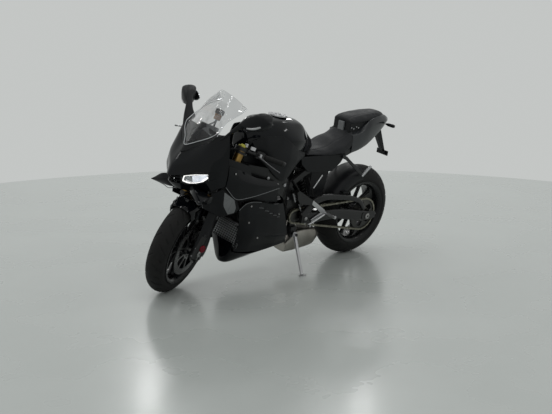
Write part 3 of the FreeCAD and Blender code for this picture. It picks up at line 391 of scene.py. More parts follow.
def rod(start: Point, end: Point, radius: float, sides: int = 24, bevel: float = 1.0) -> Form:
    """A round bar with bevelled ends.

    Args:
        start, end: the middles of its ends.
        radius: its radius.
        sides: points around.
        bevel: width of its ends' bevels.

    Returns:
        A closed form.
    """
    direction = Vector(end) - Vector(start)
    length = direction.length
    return turned([(0, 0), (0, radius - bevel), (bevel, radius), (length - bevel, radius),
                   (length, radius - bevel), (length, 0)], sides).moved(aimed(start, direction))


def crosswise(form: Form, x: float, y: float, z: float, side: int = 1) -> Form:
    """A turned form stood across the machine, its z axis towards y times side."""
    return form.moved(aimed((x, y, z), (0, side, 0)))


def tube(path: Array, radius: float | Array, sides: int = 12) -> Form:
    """A round tube along a path: a circle carried square to the path's tangent at each point.

    Args:
        path: points (n, 3).
        radius: one radius, or one for each point.
        sides: points around.

    Returns:
        A closed form.
    """
    path = np.asarray(path, float)
    tangent = unit(np.gradient(path, axis=0))
    first = unit(np.cross(tangent, np.eye(3)[int(np.argmin(np.ptp(path, axis=0)))]))
    second = np.cross(tangent, first)
    angle = full_turn(sides)[None, :, None]
    reach = np.broadcast_to(radius, len(path))[:, None, None]
    return lofted(path[:, None] + reach * (np.cos(angle) * first[:, None] + np.sin(angle) * second[:, None]))


def slab(outline: Profile, low: float, high: float) -> Form:
    """A flat plate square to the y axis.

    Args:
        outline: its (x, z) points in order.
        low, high: the y of its two faces.

    Returns:
        A closed form.
    """
    flat = np.array(outline, float)
    count = len(flat)
    points = np.concatenate([np.insert(flat, 1, y, axis=1) for y in (low, high)])
    index = np.arange(count)
    after = (index + 1) % count
    return Form(points, [index[None], index[None, ::-1] + count,
                         np.stack([after, index, index + count, after + count], -1)]).outward()


def block(x: tuple[float, float], y: tuple[float, float], z: tuple[float, float]) -> Form:
    """A block between two corners."""
    return slab([(x[0], z[0]), (x[1], z[0]), (x[1], z[1]), (x[0], z[1])], *y)


def rounded(width: float, height: float, count: int = 16, power: float = 4.0) -> Array:
    """A rounded rectangle: |a / width|^power + |b / height|^power = 1.

    Args:
        width, height: its half width and half height.
        count: how many points.
        power: 2 for an ellipse, more for squarer corners.

    Returns:
        Array (count, 2).
    """
    c, s = np.cos(full_turn(count)), np.sin(full_turn(count))
    return np.stack([width * np.sign(c) * np.abs(c) ** (2 / power),
                     height * np.sign(s) * np.abs(s) ** (2 / power)], -1)


def ring_of(form: Form, count: int, radius: float, start: float = 0.0) -> Form:
    """Copies of a form set evenly round the z axis, each turned to face outwards."""
    return form.copies([rotation(start + 360 / count * k, "Z") @ shift(radius, 0, 0)
                        for k in range(count)])


def cap_screw(radius: float, height: float) -> Form:
    """A socket-head screw standing on z = 0, with a hexagonal socket."""
    return turned([(0, 0), (0, radius), (height - 0.6, radius), (height, radius - 0.6),
                   (height, radius * 0.55), (height * 0.4, radius * 0.5), (height * 0.4, 0)], 12)


def nut(radius: float, height: float) -> Form:
    """A hexagonal nut standing on z = 0 with a round end of its bolt."""
    return turned([(0, 0), (0, radius), (height * 0.85, radius), (height, radius * 0.88), (height, 0)], 6) \
        + turned([(height, 0), (height, radius * 0.5), (height * 1.3, radius * 0.45), (height * 1.3, 0)], 12)


def bolted(fastener: Form, spots: list[Point], direction: Point = (0, 1, 0)) -> Form:
    """A fastener at each of several spots, all facing one way."""
    return joined(*(fastener.moved(aimed(spot, direction)) for spot in spots))


def perforated(border: Array, centre: Array, hole: Array, back: Array) -> Form:
    """Plates with a hole in each cell.

    Every cell is a frame of quads between its border and its hole, repeated on the far side at the
    offset back, with a wall through the hole. Neighbouring cells merge where their borders meet.

    Args:
        border: points (cells, k, 3) round each cell.
        centre: points (cells, 3).
        hole: offsets (cells, k, 3) from the centre to the hole's edge.
        back: offset (cells, k, 3) from the near side to the far side.

    Returns:
        The form, open along the outer border's edge.
    """
    cells, k = border.shape[:2]
    edge = centre[:, None] + hole
    points = np.concatenate([border, edge, border + back, edge + back], axis=1)
    index = np.arange(k)
    after = (index + 1) % k
    near = np.stack([index, after, after + k, index + k], -1)
    wall = np.stack([index + k, after + k, after + 3 * k, index + 3 * k], -1)
    cell = np.concatenate([near, near[:, ::-1] + 2 * k, wall])
    faces = (cell[None] + np.arange(cells)[:, None, None] * 4 * k).reshape(-1, 4)
    return Form(points.reshape(-1, 3), [faces])


# ---------------------------------------------------------------- finishes

class Texture(Enum):
    """How a finish's fine relief runs."""

    NOISE = "noise"
    CELLS = "cells"
    BRUSHED = "brushed"
    RINGS = "rings"


NOISE, CELLS, BRUSHED, RINGS = Texture


@dataclass(frozen=True)
class Finish:
    """A surface finish, made into a node material.

    A slow noise mixes the two colours and moves the roughness within its range, and a fine texture
    raises the surface. Scales are in repeats a metre.
    """

    name: str
    slot: str
    colour: Point
    worn: Point
    roughness: tuple[float, float]
    metallic: float = 0.0
    coat: float = 0.0
    coat_roughness: float = 0.04
    specular: float = 0.5
    drift: float = 9.0
    texture: Texture = NOISE
    grain: float = 600.0
    relief: float = 0.05
    depth: float = 0.0003
    sheen: float = 0.0
    transmission: float = 0.0
    alpha: float = 1.0
    glow: float = 0.0
    about: Place | None = None

    def material(self) -> bpy.types.Material:
        """The finish's material, made the first time it is asked for.

        Returns:
            The material.
        """
        known = bpy.data.materials.get(self.name)
        if known:
            return known
        made = bpy.data.materials.new(self.name)
        made.use_nodes = True
        tree = made.node_tree
        shader = tree.nodes["Principled BSDF"].inputs
        for socket, value in (("Metallic", self.metallic), ("Coat Weight", self.coat),
                              ("Specular IOR Level", self.specular), ("Coat Roughness", self.coat_roughness),
                              ("Sheen Weight", self.sheen), ("Transmission Weight", self.transmission),
                              ("Alpha", self.alpha), ("Emission Strength", self.glow)):
            shader[socket].default_value = value
        if self.glow:
            shader["Emission Color"].default_value = (*self.colour, 1)
        place = self.place_of_pattern(tree)
        slow = self.node(tree, "ShaderNodeTexNoise", place, Scale=self.drift, Detail=5.0).outputs["Fac"]
        share = self.node(tree, "ShaderNodeMapRange", slow, "Value", **{"From Min": 0.42, "From Max": 0.72})
        rough = self.node(tree, "ShaderNodeMapRange", slow, "Value", **{
            "From Min": 0.3, "From Max": 0.7, "To Min": self.roughness[0], "To Max": self.roughness[1]})
        blend = tree.nodes.new("ShaderNodeMix")
        blend.data_type = "RGBA"
        blend.inputs[6].default_value, blend.inputs[7].default_value = (*self.colour, 1), (*self.worn, 1)
        bump = self.node(tree, "ShaderNodeBump", self.fine(tree, place), "Height", Strength=self.relief,
                         Distance=self.depth)
        for source, entry in ((share, blend.inputs[0]), (rough, shader["Roughness"]), (bump, shader["Normal"])):
            tree.links.new(source.outputs[0], entry)
        tree.links.new(blend.outputs[2], shader["Base Color"])
        return made

    @staticmethod
    def node(tree: Tree, kind: str, source: Socket, entry: str = "Vector", **values: float) -> bpy.types.Node:
        """A node of a material.

        Args:
            tree: the material's nodes.
            kind: the node's type.
            source: what feeds it.
            entry: the input that is fed.
            values: what other inputs are set to.

        Returns:
            The new node.
        """
        made = tree.nodes.new(kind)
        for name, value in values.items():
            made.inputs[name].default_value = value
        tree.links.new(source, made.inputs[entry])
        return made

    def place_of_pattern(self, tree: Tree) -> Socket:
        """Object coordinates, or those centred on a wheel and turned to its axle.

        Args:
            tree: the material's nodes.

        Returns:
            The coordinates' output.
        """
        objects = tree.nodes.new("ShaderNodeTexCoord").outputs["Object"]
        if self.about is None:
            return objects
        frame_of_wheel = self.about.matrix
        mapping = self.node(tree, "ShaderNodeMapping", objects, Location=frame_of_wheel.translation * MM,
                            Rotation=frame_of_wheel.to_euler())
        mapping.vector_type = "TEXTURE"
        return mapping.outputs["Vector"]

    def fine(self, tree: Tree, place: Socket) -> Socket:
        """The height of the fine relief.

        Args:
            tree: the material's nodes.
            place: the coordinates' output.

        Returns:
            The relief's output.
        """
        if self.texture is CELLS:
            return self.node(tree, "ShaderNodeTexVoronoi", place, Scale=self.grain).outputs["Distance"]
        if self.texture is RINGS:
            wave = self.node(tree, "ShaderNodeTexWave", place, Scale=self.grain, Distortion=1.5, Detail=2.0)
            wave.wave_type, wave.rings_direction = "RINGS", "Y"
            return wave.outputs["Fac"]
        if self.texture is BRUSHED:
            place = self.node(tree, "ShaderNodeMapping", place, Scale=(0.06, 1, 1)).outputs["Vector"]
        return self.node(tree, "ShaderNodeTexNoise", place, Scale=self.grain, Detail=6.0).outputs["Fac"]


GLOSS_BLACK = Finish(
    "gloss_black_paint", "gloss_black", (0.0016, 0.0021, 0.003), (0.0028, 0.0036, 0.005), (0.05, 0.12),
    coat=0.16, specular=0.14, grain=140, relief=0.02, depth=0.0004)
SATIN_BLACK = Finish(
    "satin_black_moulding", "satin_black", (0.0045, 0.005, 0.006), (0.0085, 0.009, 0.0105), (0.36, 0.5),
    specular=0.22, texture=CELLS, grain=900, relief=0.22)
FRAME_BLACK = Finish(
    "frame_black_coat", "frame_black", (0.007, 0.007, 0.0075), (0.014, 0.014, 0.0145), (0.28, 0.42),
    coat=0.2, specular=0.3, grain=420, relief=0.12)
ENGINE_METAL = Finish(
    "cast_engine_metal", "engine_metal", (0.035, 0.035, 0.037), (0.065, 0.063, 0.06), (0.38, 0.55),
    metallic=0.8, specular=0.3, texture=CELLS, grain=520, relief=0.3)
RIM_BLACK = Finish(
    "rim_black_enamel", "rim_black", (0.004, 0.0042, 0.0048), (0.007, 0.0073, 0.008), (0.2, 0.32),
    coat=0.1, specular=0.2, grain=200, relief=0.04)
TYRE_RUBBER = Finish(
    "tyre_rubber_worn", "tyre_rubber", (0.006, 0.006, 0.006), (0.013, 0.0125, 0.012), (0.6, 0.82),
    specular=0.25, drift=22, grain=900, relief=0.3)
GRIP_RUBBER = Finish(
    "grip_rubber_soft", "grip_rubber", (0.008, 0.008, 0.008), (0.014, 0.014, 0.014), (0.62, 0.78),
    specular=0.3, texture=CELLS, grain=1400, relief=0.25)
STEEL = Finish(
    "brushed_steel_parts", "steel", (0.42, 0.42, 0.42), (0.3, 0.29, 0.28), (0.26, 0.42),
    metallic=1.0, texture=BRUSHED, grain=900, relief=0.12)
FRONT_DISC = Finish(
    "front_disc_ground", "steel", (0.2, 0.2, 0.2), (0.12, 0.12, 0.12), (0.24, 0.38),
    metallic=1.0, texture=RINGS, grain=260, relief=0.15, about=Place.FRONT_WHEEL)
REAR_DISC = replace(FRONT_DISC, name="rear_disc_ground", about=Place.REAR_WHEEL)
SPROCKET_STEEL = Finish(
    "sprocket_dark_steel", "steel", (0.06, 0.06, 0.058), (0.1, 0.098, 0.09), (0.3, 0.45),
    metallic=1.0, texture=RINGS, grain=300, relief=0.12, about=Place.REAR_WHEEL)
CHAIN_STEEL = Finish(
    "chain_steel_oiled", "steel", (0.26, 0.25, 0.205), (0.12, 0.115, 0.09), (0.3, 0.5),
    metallic=1.0, drift=45, grain=1500, relief=0.2)
SILVER = Finish(
    "forged_silver", "silver", (0.5, 0.5, 0.51), (0.38, 0.38, 0.39), (0.28, 0.42),
    metallic=1.0, texture=CELLS, grain=1200, relief=0.12)
STANCHION = Finish(
    "dark_fork_stanchion", "chrome_tube", (0.05, 0.05, 0.053), (0.035, 0.035, 0.037), (0.1, 0.2),
    metallic=1.0, grain=700, relief=0.03)
GOLD = Finish(
    "dull_gold_anodising", "gold_anodised", (0.34, 0.21, 0.065), (0.24, 0.15, 0.05), (0.26, 0.4),
    metallic=1.0, texture=BRUSHED, grain=1100, relief=0.08)
CAP_YELLOW = Finish(
    "fork_cap_anodising", "gold_anodised", (0.42, 0.4, 0.07), (0.3, 0.28, 0.06), (0.25, 0.38),
    metallic=1.0, grain=900, relief=0.08)
SEAT_COVER = Finish(
    "seat_cover_grain", "seat_cover", (0.0065, 0.0072, 0.009), (0.0105, 0.0112, 0.0135), (0.5, 0.66),
    specular=0.3, sheen=0.03, drift=14, texture=CELLS, grain=620, relief=0.55, depth=0.0006)
SCREEN = Finish(
    "clear_screen_sheet", "clear_screen", (0.26, 0.27, 0.29), (0.23, 0.24, 0.26), (0.0, 0.02),
    transmission=1.0, alpha=0.25, specular=0.4, grain=60, relief=0.0)
# Light grey for thin tubes along the screen's edges and foot: painted highlights where the sheet's edges catch the
# light.
SCREEN_EDGE_HIGHLIGHT = Finish(
    "painted_screen_edge_highlight", "clear_screen", (0.72, 0.74, 0.76), (0.64, 0.66, 0.68), (0.1, 0.16),
    coat=0.3, grain=60, relief=0.0)
# Lighter grey: on the levers it is a painted highlight along their top edges; it also covers the cooler guard's lip.
GUN_GREY_AND_HIGHLIGHT = Finish(
    "gun_grey_and_painted_highlight", "frame_black", (0.14, 0.14, 0.145), (0.09, 0.09, 0.095), (0.25, 0.36),
    metallic=0.8, grain=800, relief=0.08)
LENS = Finish(
    "lamp_lens_clear", "lamp_lens", (0.7, 0.72, 0.75), (0.6, 0.62, 0.65), (0.03, 0.07),
    transmission=1.0, alpha=0.2, grain=80, relief=0.02)
LAMP_GLOW = Finish(
    "lamp_strip_light", "lamp_lens", (1.0, 0.99, 0.96), (0.95, 0.96, 1.0), (0.3, 0.4),
    glow=1.15)
LAMP_HALO = Finish(
    "lamp_inner_light", "lamp_lens", (0.9, 0.93, 1.0), (0.5, 0.55, 0.62), (0.2, 0.3),
    glow=0.42, drift=26, relief=0.3, grain=300)
LAMP_BOWL = Finish(
    "lamp_bowl_bright", "lamp_lens", (0.5, 0.51, 0.53), (0.35, 0.36, 0.38), (0.12, 0.25),
    metallic=1.0)
REAR_LENS = Finish(
    "rear_lens_red", "rear_lens", (0.16, 0.006, 0.008), (0.1, 0.004, 0.006), (0.08, 0.16),
    coat=0.8, grain=500, relief=0.25, texture=CELLS)
REFLECTOR = Finish(
    "reflector_red", "rear_lens", (0.13, 0.001, 0.009), (0.1, 0.001, 0.007), (0.2, 0.3),
    coat=0.1, specular=0.15, texture=CELLS, grain=900, relief=0.15)
EXHAUST_METAL = Finish(
    "exhaust_heat_tinted", "exhaust_metal", (0.34, 0.325, 0.295), (0.2, 0.185, 0.165), (0.3, 0.46),
    metallic=1.0, drift=7, texture=BRUSHED, grain=800, relief=0.15)
AMBER = Finish(
    "reservoir_amber", "reservoir", (0.26, 0.12, 0.035), (0.19, 0.08, 0.025), (0.18, 0.3),
    coat=0.4, grain=300, relief=0.05)
LID_BLACK = Finish(
    "reservoir_lid", "reservoir", (0.012, 0.012, 0.012), (0.02, 0.02, 0.02), (0.4, 0.55),
    texture=CELLS, grain=1200, relief=0.2)
CORE = Finish(
    "radiator_core_black", "core", (0.02, 0.02, 0.022), (0.045, 0.045, 0.048), (0.42, 0.6),
    metallic=0.6, grain=900, relief=0.3)
MESH_GREY = Finish(
    "guard_mesh_grey", "core", (0.34, 0.35, 0.36), (0.26, 0.265, 0.27), (0.35, 0.5),
    metallic=0.3, grain=1200, relief=0.2)
MIRROR_GLASS = Finish(
    "mirror_glass", "satin_black", (0.8, 0.82, 0.84), (0.72, 0.74, 0.76), (0.01, 0.03),
    metallic=1.0, grain=50, relief=0.005)
DASH_GLASS = Finish(
    "dash_display", "satin_black", (0.006, 0.007, 0.009), (0.012, 0.014, 0.018), (0.04, 0.1),
    coat=1.0, grain=90, relief=0.01)
TAIL_BLACK = Finish(
    "tail_panel_paint", "gloss_black", (0.011, 0.0125, 0.015), (0.015, 0.017, 0.02), (0.26, 0.4),
    coat=0.2, specular=0.4, grain=60, relief=0.01)
# Light grey on the cheek facets and the pad tray's front. On thin cords along black edges and lips it is a painted
# highlight.
GREY_TRIM_AND_HIGHLIGHT = Finish(
    "grey_trim_and_painted_highlight", "gloss_black", (0.13, 0.135, 0.14), (0.1, 0.105, 0.11), (0.2, 0.32),
    coat=0.4, texture=CELLS, grain=300, relief=0.15)


# ---------------------------------------------------------------- assemblies

@dataclass
class Assembly:
    """Pieces that ride on one body."""

    place: Place

    def piece(self, name: str, form: Form, finish: Finish, *replaced: str, bevel: float = 0.0,
              sharp: float = 38.0) -> bpy.types.Object:
        """One dressed piece on the assembly's body.

        Args:
            name: the piece's name.
            form: its form in the assembly's frame.
            finish: what covers it.
            replaced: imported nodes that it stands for.
            bevel: width of a bevel on its edges, in millimetres, or 0.
            sharp: angle in degrees above which an edge is shaded sharp.

        Returns:
            The new object.
        """
        made = bpy.data.objects.new(name, form.mesh(name, self.place.matrix))
        bpy.context.scene.collection.objects.link(made)
        made.data.polygons.foreach_set("use_smooth", np.ones(len(made.data.polygons), bool))
        made.data.set_sharp_from_angle(angle=math.radians(sharp))
        if bevel:
            rounding = made.modifiers.new("edge", "BEVEL")
            rounding.width, rounding.segments = bevel * MM, 2
            rounding.limit_method, rounding.angle_limit = "ANGLE", math.radians(35)
            rounding.harden_normals = True
        made.data.materials.append(finish.material())
        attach(made, self.place.value)
        if replaced:
            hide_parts(*replaced)
        LOG.info("%s: %d faces on %s, %s", name, len(made.data.polygons), self.place.value, finish.name)
        return made

    def cord(self, name: str, path: Array, radius: float, sides: int, finish: Finish, both: bool = True) -> None:
        """A tube along a path as a piece, and its mirror image where both sides have one."""
        form = tube(path, radius, sides)
        self.piece(name, form.pair() if both else form, finish)

    def dress(self, node: str, finish: Finish) -> None:
        """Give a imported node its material.

        Args:
            node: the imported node's name.
            finish: what covers it.
        """
        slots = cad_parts[node].material_slots
        for index in range(len(slots)):
            slots[index].material = finish.material()
        if not slots:
            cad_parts[node].data.materials.append(finish.material())
        LOG.info("%s: packed solid, %s", node, finish.name)

    def build(self) -> None:
        """Make every piece of the assembly."""
        raise NotImplementedError


# ---------------------------------------------------------------- wheels

class End(Enum):
    """Which end of the machine a wheel is at."""

    FRONT = "front"
    REAR = "rear"


@dataclass
class Wheel(Assembly):
    """A wheel: tyre with tread, cast rim with thin spokes, and brake discs."""

    end: End = End.FRONT
    radius: float = 300.0
    crown: float = 58.0
    bead: float = 50.0
    hub: tuple[float, float] = (-63.5, 63.5)
    hub_radius: float = 34.0
    pitches: int = 15
    disc_radius: float = 160.0
    disc_tracks: tuple[float, ...] = (-66.0, 66.0)
    bead_radius: float = 218.0
    axle_radius: float = 12.8
    spokes: int = 10
    groove: float = 3.4
    rows: int = 660

    def tread(self, angle: Array, across: Array) -> Array:
        """Depth of the tread's grooves, 0 to 1.

        A groove's middle is where pitches angle / 2 pi + 0.62 |across| is a whole number, half a
        pitch later on the right. Depth falls from 1 to 0 over the groove's half width, and only
        |across| from 0.1 to 0.8 is cut. A short groove stands between each two long ones.

        Args:
            angle: angles round the tyre.
            across: places across its crown, from -1 to 1.

        Returns:
            The depths.
        """
        phase = angle * self.pitches / (2 * np.pi) + 0.62 * np.abs(across) + 0.5 * (across < 0)
        pitch, reach = 2 * np.pi * self.radius / self.pitches, np.abs(across)

        def cut(start: float, depth: float, wall: float, low: float, high: float) -> Array:
            """Grooves that start at a share of the pitch and reach from low to high across."""
            inward = np.clip(depth - np.abs((phase + start) % 1 - 0.5) * pitch / wall, 0, 1)
            return inward * np.clip((reach - low) * 30, 0, 1) * np.clip((high - reach) * 30, 0, 1)

        return np.maximum(cut(0.5, 2.2, 2.6, 0.08, 0.82), cut(0.0, 2.0, 2.2, 0.34, 0.66))

    def tyre(self) -> Form:
        """The tyre: a round crown with tread, bulging walls with a rib, closed across its foot.

        Returns:
            A closed form.
        """
        centre, lean = self.radius - self.crown, math.radians(82)
        swing = np.linspace(-lean, lean, 61)
        crown = np.stack([self.crown * np.sin(swing), centre + self.crown * np.cos(swing)], -1)
        share = np.linspace(0, 1, 9)[:-1]
        foot = np.array([self.bead, self.bead_radius])
        wall = foot + (crown[-1] - foot) * share[:, None] + np.outer(np.sin(share * np.pi) * 2.0, (1, 0.2))
        wall[2:4] += (1.4, 0)
        left = wall * (-1, 1)
        section = np.concatenate([left, crown, wall[::-1]])
        across = np.concatenate([np.full(8, -1.1), swing / lean, np.full(8, 1.1)])
        outward = np.concatenate([np.zeros((8, 2)), np.stack([np.sin(swing), np.cos(swing)], -1), np.zeros((8, 2))])
        angle = full_turn(self.rows)[:, None]
        depth = self.groove * self.tread(angle, across[None])
        points = about_axle(section[:, 1] - depth * outward[:, 1], section[:, 0] - depth * outward[:, 0], angle)
        return Form(points.reshape(-1, 3), [lattice(self.rows, len(section), True, True)]).outward()

    def rim(self) -> Form:
        """The rim: barrel and flanges, hub, and spokes lofted outwards from it.

        Returns:
            The rim with its hub and spokes.
        """
        b, seat = self.bead, self.bead_radius - 2
        over = [(b - 30, 196), (b - 22, seat), (b + 3, seat), (b + 4.5, 224.5), (b + 6, 226), (b + 8.5, 226),
                (b + 10, 225)]
        under = [(b + 9, 214), (b + 6, 208), (b - 8, 197), (b - 26, 189)]
        barrel = [(-y, r) for y, r in over[::-1]] + over + under + [(-y, r) for y, r in under[::-1]]
        low, high = self.hub
        h, a = self.hub_radius, self.axle_radius
        hub = [(low, a), (low, h - 2), (low + 2, h), (-30, h), (-20, 54), (-14, 57), (14, 57), (20, 54), (30, h),
               (high - 2, h), (high, h - 2), (high, a)]
        reach = np.array([44, 56, 80, 120, 160, 178, 191.5])
        wide = np.array([18, 14, 11.5, 10, 10.5, 13, 18])
        deep = np.array([19, 17, 14, 12, 11.5, 13, 17])
        ring = rounded(1, 1, 16)
        section = np.stack([np.broadcast_to(reach[:, None], (7, 16)), ring[:, 0] * wide[:, None],
                            ring[:, 1] * deep[:, None]], -1)
        spoke = lofted(spline(section, 4))
        parts = turned(barrel, 120, ring=True) + turned(hub, 48, ring=True) + ring_of(spoke, self.spokes, 0)
        return parts.moved(rotation(-90, "X"))

    def disc(self, track: float) -> Form:
        """One drilled brake disc with its carrier and the buttons between them.

        Args:
            track: its distance from the centre plane, to the left.

        Returns:
            The disc, turned about the axle.
        """
        outer, inner = self.disc_radius, self.disc_radius - 36
        around, rows, half = 48, 3, 2.4
        i, j = np.indices((around, rows)).reshape(2, -1)
        corner = np.array([(-1, -1), (0, -1), (1, -1), (1, 0), (1, 1), (0, 1), (-1, 1), (-1, 0)])
        angle = (i[:, None] + 0.5 + corner[:, 0] / 2) * 2 * np.pi / around
        step = (outer - inner) / rows
        border = about_axle(inner + (j[:, None] + 0.5 + corner[:, 1] / 2) * step, track - half, angle)
        middle = (i + 0.5) * 2 * np.pi / around
        centre = about_axle(inner + (j + 0.5) * step + 1.6 * (-1.0) ** i, track - half, middle)
        out, side = about_axle(1, 0, middle), about_axle(1, 0, middle + np.pi / 2)
        turn = np.arctan2(corner[:, 1], corner[:, 0])
        hole = 3.6 * (np.cos(turn)[:, None] * side[:, None] + np.sin(turn)[:, None] * out[:, None])
        plate = perforated(border, centre, hole, np.broadcast_to((0, 2 * half, 0), border.shape))
        for radius in (inner, outer):
            band = about_axle(radius, track + np.array([[-half], [half]]), full_turn(around * 2))
            strip = Form(band.reshape(-1, 3), [lattice(2, around * 2, wrap_columns=True)])
            plate = plate + (strip if radius == outer else strip.flipped())
        arm = lofted(np.array([[(r, w * s, t) for s, t in ((-1, -2), (1, -2), (1, 2), (-1, 2))]
                               for r, w in ((52, 9), (80, 5), (inner - 3, 6.5), (inner + 1, 6.5))], float))
        button = turned([(-3.6, 0), (-3.6, 6), (3.6, 6), (3.6, 0)], 12)
        ring = turned([(-2.2, 31), (-2.2, 58), (2.2, 58), (2.2, 31)], 60, ring=True)
        carrier = ring + ring_of(arm, 10, 0) + ring_of(button, 10, inner - 1) \
            + ring_of(cap_screw(5, 4).moved(shift(0, 0, 2)), 5, 43, 18)
        if track < 0:
            carrier = carrier.moved(rotation(180, "X"))
        return plate + carrier.moved(shift(0, track, 0) @ rotation(-90, "X"))

    def build(self) -> None:
        """The tyre, the rim, the discs and the valve."""
        end, front = self.end.value, self.end is End.FRONT
        self.piece(f"{end}_tyre_tread", self.tyre(), TYRE_RUBBER, f"{end}_tyre", sharp=50)
        self.piece(f"{end}_rim_cast", self.rim(), RIM_BLACK, f"{end}_rim")
        self.piece(f"{end}_discs_drilled", joined(*(self.disc(track) for track in self.disc_tracks)),
                   FRONT_DISC if front else REAR_DISC, "front_brake_discs" if front else "rear_brake_disc")
        stem = rod((0, 0, 0), (0, 26, 0), 4.2, 12) + rod((0, 22, 0), (0, 34, 0), 3.4, 10)
        self.piece(f"{end}_valve", stem.moved(rotation(18, "Y") @ shift(186, 8, 0)), FRAME_BLACK)


@dataclass
class Sprocket(Assembly):
    """The toothed rear sprocket."""

    teeth: int = 44
    pitch_radius: float = REAR_PITCH_RADIUS
    line: float = CHAIN_LINE

    def build(self) -> None:
        """A toothed outline r = pitch radius - 0.6 + 3.6 cos(teeth angle), with windows between arms."""
        angle = full_turn(self.teeth * 6)
        outer = self.pitch_radius - 0.6 + 3.6 * np.cos(angle * self.teeth)
        inner = 78 + 12 * np.clip(np.cos(angle * 5) * 3, -1, 1)
        points = np.stack([about_axle(r, self.line + y, angle)
                           for r, y in ((outer, -3.0), (outer, 3.0), (inner, 3.0), (inner, -3.0))])
        rim = Form(points.reshape(-1, 3), [lattice(4, len(angle), True, True)]).outward()
        carrier = turned([(-3, 28), (-3, 56), (3, 56), (3, 28)], 48, ring=True) \
            + ring_of(block((-26, 34), (-9, 9), (-2.9, 2.9)), 5, 62, 36) \
            + ring_of(nut(7, 7).moved(shift(0, 0, 3)), 5, 46, 0)
        whole = rim + carrier.moved(shift(0, self.line, 0) @ rotation(-90, "X"))
        self.piece("rear_sprocket_toothed", whole, SPROCKET_STEEL, "rear_sprocket")


# ---------------------------------------------------------------- steering

